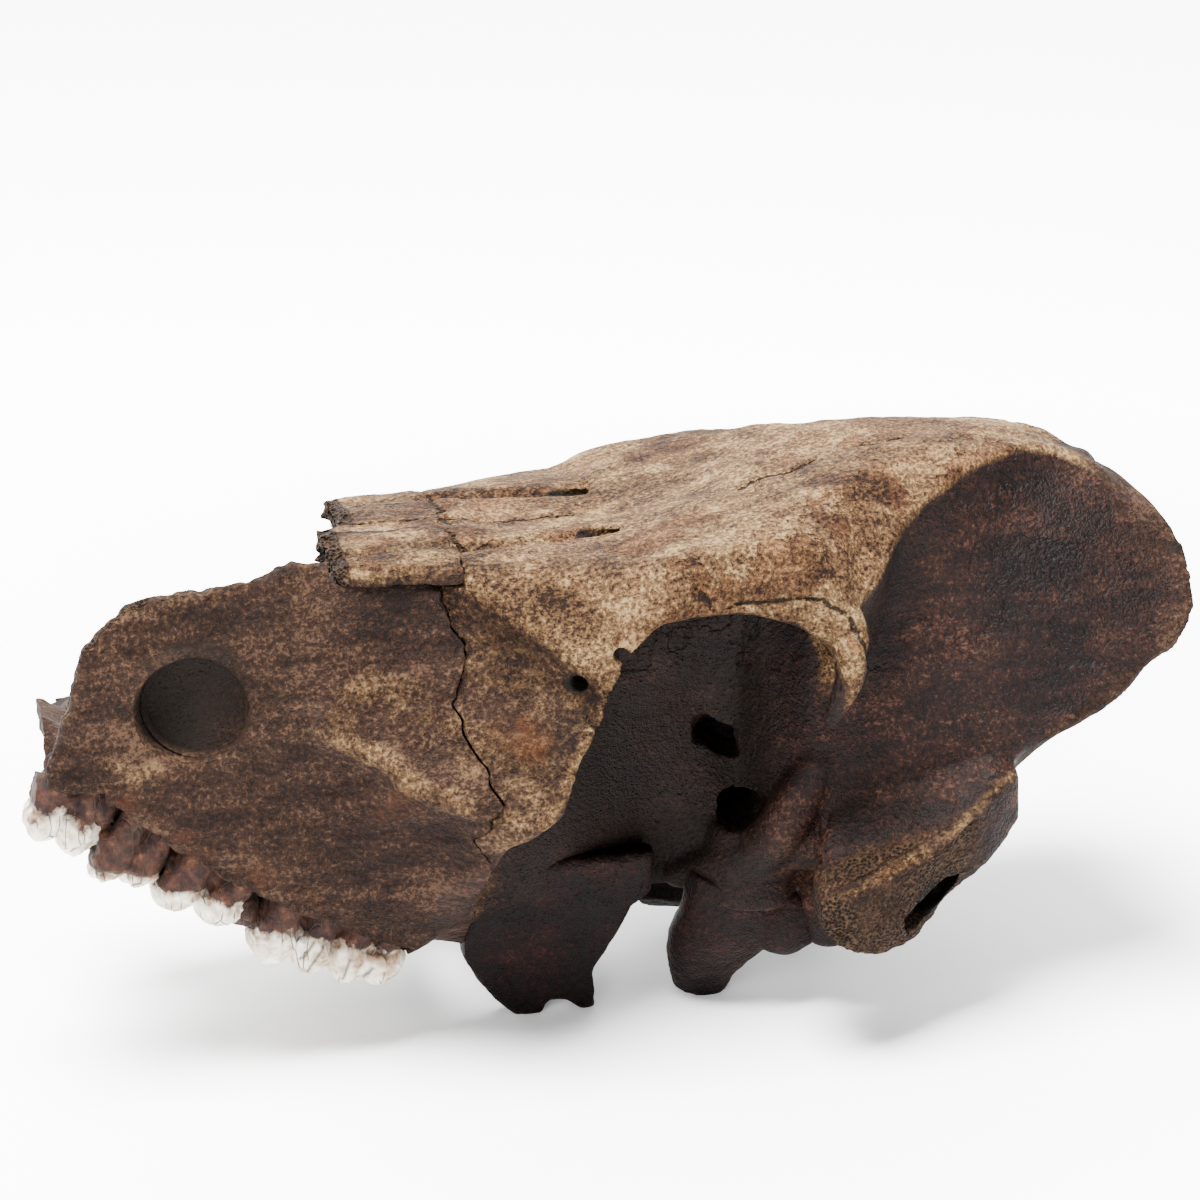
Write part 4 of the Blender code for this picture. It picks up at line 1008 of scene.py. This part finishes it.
# lobes as leaning eggs with an outer and an inner cusp, roots as bars slanting up into the jaw
def makeTooth(name, s, values, seed):
    outer, breadth = values[2:4]
    key = name.rsplit("_", 1)[0]
    lobes, crown, enamel, (runX, runZ) = toothLook[key]
    middle = (outer - breadth / 2) * s
    draw = np.random.default_rng(seed)
    skins = []
    for x, tip, half in lobes:
        skins.append(egg((x + crown * 0.16, middle, tip + crown * 0.52),
                         (half * 1.12, breadth * 0.46, crown * 0.58), -18))
        for row in (-1, 1):
            y = middle + row * breadth * 0.25
            jog = draw.uniform(-0.35, 0.35)
            skins.append(bar([(x - 0.9 + jog, y, tip + 0.1), (x - 0.3, y, tip + 1.8),
                              (x + 0.8, y, tip + crown * 0.62)],
                             (half * 0.22, half * 0.62, half * 0.86)))
            skins.append(bar([(x + 0.8, y, tip + crown * 0.55),
                              (x + 0.8 + runX * 0.5, y, tip + crown * 0.6 + runZ * 0.5),
                              (x + 0.8 + runX, y, tip + crown * 0.6 + runZ)],
                             (half * 0.86, half * 0.66, half * 0.52)))
    first, last = lobes[0], lobes[-1]
    skins.append(bar([(first[0] - 1.5, middle, first[1] + crown + 1.5),
                      (last[0] + 6.5, middle, last[1] + crown + 2.0)],
                     (4.6, 4.6), 1.1))
    if key in toothLook["between"]:
        x, z, high = toothLook["between"][key]
        skins.append(egg((x, middle, z), (4.2, breadth * 0.4, high), -18))
    obj = meshObject(pieceName(name), skins)
    growSkin(obj, toothLook["voxel"] if s < 0 else toothLook["voxelFar"], toothLook["rounds"])
    p, n = readPoints(obj), readNormals(obj)
    up = aboveTips(p, lobes)
    furrow = layeredNoise(p * (1.6, 1.2, 0.35), 2.2, 2, seed) * toothLook["furrow"]
    lift = furrow * np.clip(1.6 - up / crown, 0.4, 1)
    lift += layeredNoise(p, 1.4, 2, seed + 3) * toothLook["wear"]
    lift -= 0.5 * bell(up - enamel, 0.8)  # pinched where the enamel ends
    writePoints(obj, p + n * lift[:, None])
    p = readPoints(obj)
    up = aboveTips(p, lobes)
    # painted shade on the inner side above the crown, between the roots
    deep = np.clip((outer - breadth * 0.30 - np.abs(p[:, 1])) / 1.5, 0, 1)
    deep = deep * np.clip((up - crown * 0.9) / 2, 0, 1)
    if key == "molar_3":  # slanting splits in the enamel of the last molar
        split = np.min([wayTo(p[:, [0, 2]], c) for c in toothLook["split"]], axis=0)
        deep = np.maximum(deep, bell(split, 0.42) * (p[:, 1] * s > middle * s))
    finishPiece(obj, toothEnamel, [name], {"root": np.clip(up / enamel * 0.5, 0, 1),
                                                    "hole": deep * 0.9})


# height above the line of the tips, read along the lean of the crown
def aboveTips(p, lobes):
    xs, tips = [l[0] for l in lobes], [l[1] for l in lobes]
    height = p[:, 2] - np.interp(p[:, 0], xs, tips)
    return p[:, 2] - np.interp(p[:, 0] - 0.3 * height, xs, tips)


nasalLook = {"voxel": 0.5, "rounds": 3, "frontLeft": -67.0, "frontRight": -61.5, "sponge": 1.7}


# low arch carried backwards, its front end broken to spongy bone
def makeNasal(name, s, frontX, seed):
    look = nasalLook
    arch = np.array([(0, 119.2), (10, 119.1), (17, 118.6), (23.4, 117.4), (24.8, 115.6), (25.4, 111.5),
                     (15, 111.5),
                     (8, 113.0), (0, 113.2)], float)
    x = np.arange(frontX, -33.5, 1.0)
    spread = (1.0 + 0.0065 * (x + 67))[:, None]
    y = arch[None, :, 0] * spread * s
    z = np.repeat(arch[None, :, 1], len(x), 0)
    grid = np.stack([np.repeat(x[:, None], len(arch), 1), y, z], 2)
    obj = meshObject(pieceName(name), [skinOf(grid)])
    growSkin(obj, look["voxel"], look["rounds"])
    p, n = readPoints(obj), readNormals(obj)
    q = p * (1, -1, 1) if s > 0 else p
    front = np.clip(1 - (p[:, 0] - frontX) / 5.5, 0, 1)
    lift = layeredNoise(p, 9, 3, seed) * 0.3 + layeredNoise(p, 2.2, 2, seed + 4) * 0.12
    lift -= 0.9 * bell(wayTo(q, [(-70, -19, 119), (-38, -17.4, 119)]), 2.4)
    lift -= front * (1.6 - cellNoise(p, 2.3, seed + 7) * 1.7) * look["sponge"]
    lift += front * layeredNoise(p, 4.5, 2, seed + 2) * 2.0
    p = p + n * lift[:, None]
    writePoints(obj, p)
    low, high = sorted((0.12 * s, -9 * s))
    carve(obj, [block("median", (-150, low, 0), (-20, high, 140)),
                jointWall("rearJoint", -38, -0.08, 0),
                seatSlab("seat", 0.08, 90, -150, 0)])
    p = readPoints(obj)
    front = np.clip(1 - (p[:, 0] - frontX - 2.0) / 3.5, 0, 1)
    streaks = [[(-64, -6, 119), (-52, -7, 119.2), (-44, -6, 119)], [(-60, 12, 119), (-44, 13, 119)]]
    finishPiece(obj, boneOfRoof, [name], {
        "pale": np.clip((p[:, 2] - 112) / 5, 0, 1) * 0.85, "dark": 0.8 * front,
                                                       "spongy": np.clip(front * 1.3, 0, 1),
        "crack": np.min([wayTo(p, c) for c in streaks], axis=0), "rust": 0.8 * front})


baseLook = {"voxel": 0.55, "rounds": 4, "waves": 0.35, "grain": 0.16}
pterygoidSide = ((-38.5, 41), (-38.5, 19), (-34.5, 10.6), (-29.9, 4.5), (-25.5, 0.2), (-19.5, -0.6),
                 (-17.4, 3),
                 (-13.2, 3), (-9, -0.4), (-6.4, 0), (-6.8, 10.5), (-3.7, 15), (0, 21.5), (2.8, 27), (7, 30),
                 (7.5, 41))


# relief, cuts and masks that the pieces of the base share
def finishBasePiece(obj, name, cutters, seed):
    look = baseLook
    p, n = readPoints(obj), readNormals(obj)
    lift = layeredNoise(p, 9, 3, seed) * look["waves"] + layeredNoise(p, 2.2, 2, seed + 5) * look["grain"]
    writePoints(obj, p + n * lift[:, None])
    carve(obj, cutters)
    p = readPoints(obj)
    shine = 0.35 + 0.4 * layeredNoise(p, 12, 2, seed + 9)
    # painted shade: the base pieces, underneath the skull, take the dark colours all over
    finishPiece(obj, boneOfBase, [name], {
        "dark": np.full(len(p), 0.92), "pale": np.clip(shine, 0, 1) * 0.15,
        "rust": 0.5 * np.clip(layeredNoise(p, 8, 2, seed + 2), 0, 1)})


# plate: its side outline stacked over the thickness, smaller at both faces, leaning outwards with height
def makePterygoid(name, s, seed):
    side = np.array(pterygoidSide, float)
    middle = side[:, 0].mean()
    rings = []
    for y, pull in ((20.5, 0.93), (19.5, 1.0), (17, 1.0), (14.5, 1.0), (13.5, 0.93)):
        rings.append(np.stack([middle + (side[:, 0] - middle) * pull, (y + 0.10 * (side[:, 1] - 5)) * s,
                               20 + (side[:, 1] - 20) * pull], 1))
    obj = meshObject(pieceName(name), [skinOf(np.array(rings))])
    growSkin(obj, baseLook["voxel"], 6)
    finishBasePiece(obj, name, [block("front", (-60, -60, -5), (-37.85, 60, 60)),
                                block("foot", (-60, -60, -9), (20, 60, 0))], seed)


# flattened bar down to the foot, an egg behind it, cut level at the tip
def makeBulla(name, s, tip, seed):
    obj = meshObject(pieceName(name), [
        bar([(28, 25 * s, 33), (25.5, 24 * s, 23), (22, 20 * s, 13), (20.5, 15.5 * s, tip + 1.2)],
            (13, 12.5, 10.5, 6.5), 0.72), egg((38, 28 * s, 23), (10, 7.5, 9.5), 10)])
    growSkin(obj, baseLook["voxel"], 14)
    finishBasePiece(obj, name, [block("foot", (0, -60, -9), (60, 60, tip))], seed)


# tapering bar, cut level at the floor
def makeParacondylar(name, seed):
    obj = meshObject(pieceName(name), [bar([(64, 28, 40), (62, 27, 24), (60, 25.5, 10), (59, 25, -3)],
                                           (8, 6, 4.5, 3.5))])
    growSkin(obj, baseLook["voxel"], 12)
    finishBasePiece(obj, name, [block("foot", (40, 0, -9), (90, 60, 0))], seed)


makeCranium()
print("cranium done")
makeMaxilla("maxillaLeft", -1, ["maxilla_left"])
makeMaxilla("maxillaRight", 1, ["maxilla_right"])
print("maxillae done")
seed = 100
for label, s in (("left", -1), ("right", 1)):
    makeNasal("nasal_" + label, s, nasalLook["frontLeft"] if s < 0 else nasalLook["frontRight"], seed)
    makePterygoid("pterygoid_" + label, s, seed + 1)
    makeBulla("bulla_" + label, s, 0.0 if s < 0 else 6.0, seed + 2)
    for tooth, values in teeth.items():
        seed += 7
        if tooth + "_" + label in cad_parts:
            makeTooth(tooth + "_" + label, s, values, seed)
makeParacondylar("paracondylar_process_right", seed + 5)
print("teeth and base done")


floorLook = {
    "colour": (0.95, 0.95, 0.95), "dull": (0.94, 0.94, 0.94),
    "reach": 6.0, "behind": 2.2, "bend": 1.2, "top": 6.0,  # metres
    "glow": 5.0,
    "ring": (0.035, 0.02, 0.105, 0.50),  # centre x and y, and how far away the glow starts and is full
}


# studio sweep: flat floor that bends up behind along a quarter circle
def makeSweep():
    look = floorLook
    t = np.linspace(0, 1, 60)
    bend = look["behind"] + look["bend"] * np.sin(t * np.pi / 2)
    y = np.concatenate([[-look["reach"], 0], bend, [look["behind"] + look["bend"]]])
    z = np.concatenate([[0, 0], look["bend"] * (1 - np.cos(t * np.pi / 2)), [look["top"]]])
    x = np.linspace(-look["reach"], look["reach"], 3)
    points = np.stack([np.repeat(x[None], len(y), 0), np.repeat(y[:, None], 3, 1),
                       np.repeat(z[:, None], 3, 1)], 2).reshape(-1, 3)
    i = np.arange(len(y) - 1)[:, None] * 3
    j = np.arange(2)[None]
    a = (i + j).ravel()
    faces = np.stack([a, a + 1, a + 4, a + 3], 1)
    mesh = bpy.data.meshes.new("studioFloor")
    mesh.from_pydata(points.tolist(), [], faces.tolist())
    mesh.polygons.foreach_set("use_smooth", np.ones(len(mesh.polygons), bool))
    obj = bpy.data.objects.new("studioFloor", mesh)
    bpy.context.scene.collection.objects.link(obj)
    material = bpy.data.materials.new("palePaper")
    material.use_nodes = True
    tree = material.node_tree
    shader = tree.nodes["Principled BSDF"]
    coords = node(tree, "ShaderNodeTexCoord").outputs["Object"]
    tone = rampOf(tree, noiseAt(tree, coords, 9, 3, 0.5), (0.3, 0.7), (look["dull"], look["colour"]))
    tree.links.new(tone, shader.inputs["Base Color"])
    shader.inputs["Roughness"].default_value = 0.55
    # the sweep glows faintly away from the skull: painted light from an emission with no glow round the
    # skull, so its shadow stays, and more further off
    cx, cy, near, far = look["ring"]
    away = node(tree, "ShaderNodeVectorMath", operation="DISTANCE")
    tree.links.new(coords, away.inputs[0])
    away.inputs[1].default_value = (cx, cy, 0)
    tree.links.new(grade(tree, away.outputs["Value"], near, far, 0.0, look["glow"]),
                   shader.inputs["Emission Strength"])
    shader.inputs["Emission Color"].default_value = (1, 1, 1, 1)
    mesh.materials.append(material)


# rectangle of light turned towards its aim
def softLight(name, place, aim, size, power):
    light = bpy.data.lights.new(name, "AREA")
    light.shape = "RECTANGLE"
    light.size, light.size_y = size
    light.energy = power
    obj = bpy.data.objects.new(name, light)
    bpy.context.scene.collection.objects.link(obj)
    obj.location = place
    obj.rotation_euler = (Vector(aim) - Vector(place)).to_track_quat("-Z", "Y").to_euler()


# place, aim, size and watts of each light
studioLights = {
    "topLight": ((-0.25, -0.1, 1.3), (0.0, 0.0, 0.05), (0.75, 0.6), 185),
    "frontLight": ((-0.9, -1.3, 0.9), (0.0, 0.0, 0.06), (0.8, 0.6), 24),
    "rightLight": ((1.2, -0.7, 0.7), (0.0, 0.0, 0.06), (0.7, 0.7), 8),
}
airStrength = 0.3

makeSweep()
for name, values in studioLights.items():
    softLight(name, *values)
world = bpy.data.worlds.new("studioAir")
world.use_nodes = True
world.node_tree.nodes["Background"].inputs["Color"].default_value = (1, 1, 1, 1)
world.node_tree.nodes["Background"].inputs["Strength"].default_value = airStrength
bpy.context.scene.world = world

cameraLook = {
    "yaw": 14.0, "elevation": 20.0, "distance": 0.700, "aim": (0.0026, 0.0, 0.0957),
    "halfFrame": 600, "focal": 2992.5,  # pixels
}
yaw, lift = math.radians(cameraLook["yaw"]), math.radians(cameraLook["elevation"])
forward = Vector((math.sin(yaw) * math.cos(lift), math.cos(yaw) * math.cos(lift), -math.sin(lift)))
lens = bpy.data.cameras.new("photoCamera")
lens.sensor_fit = "AUTO"
lens.angle = 2 * math.atan(cameraLook["halfFrame"] / cameraLook["focal"])
lens.clip_start, lens.clip_end = 0.05, 40
camera = bpy.data.objects.new("photoCamera", lens)
bpy.context.scene.collection.objects.link(camera)
camera.location = Vector(cameraLook["aim"]) - forward * cameraLook["distance"]
camera.rotation_euler = forward.to_track_quat("-Z", "Y").to_euler()
bpy.context.scene.camera = camera
print("stage ready")
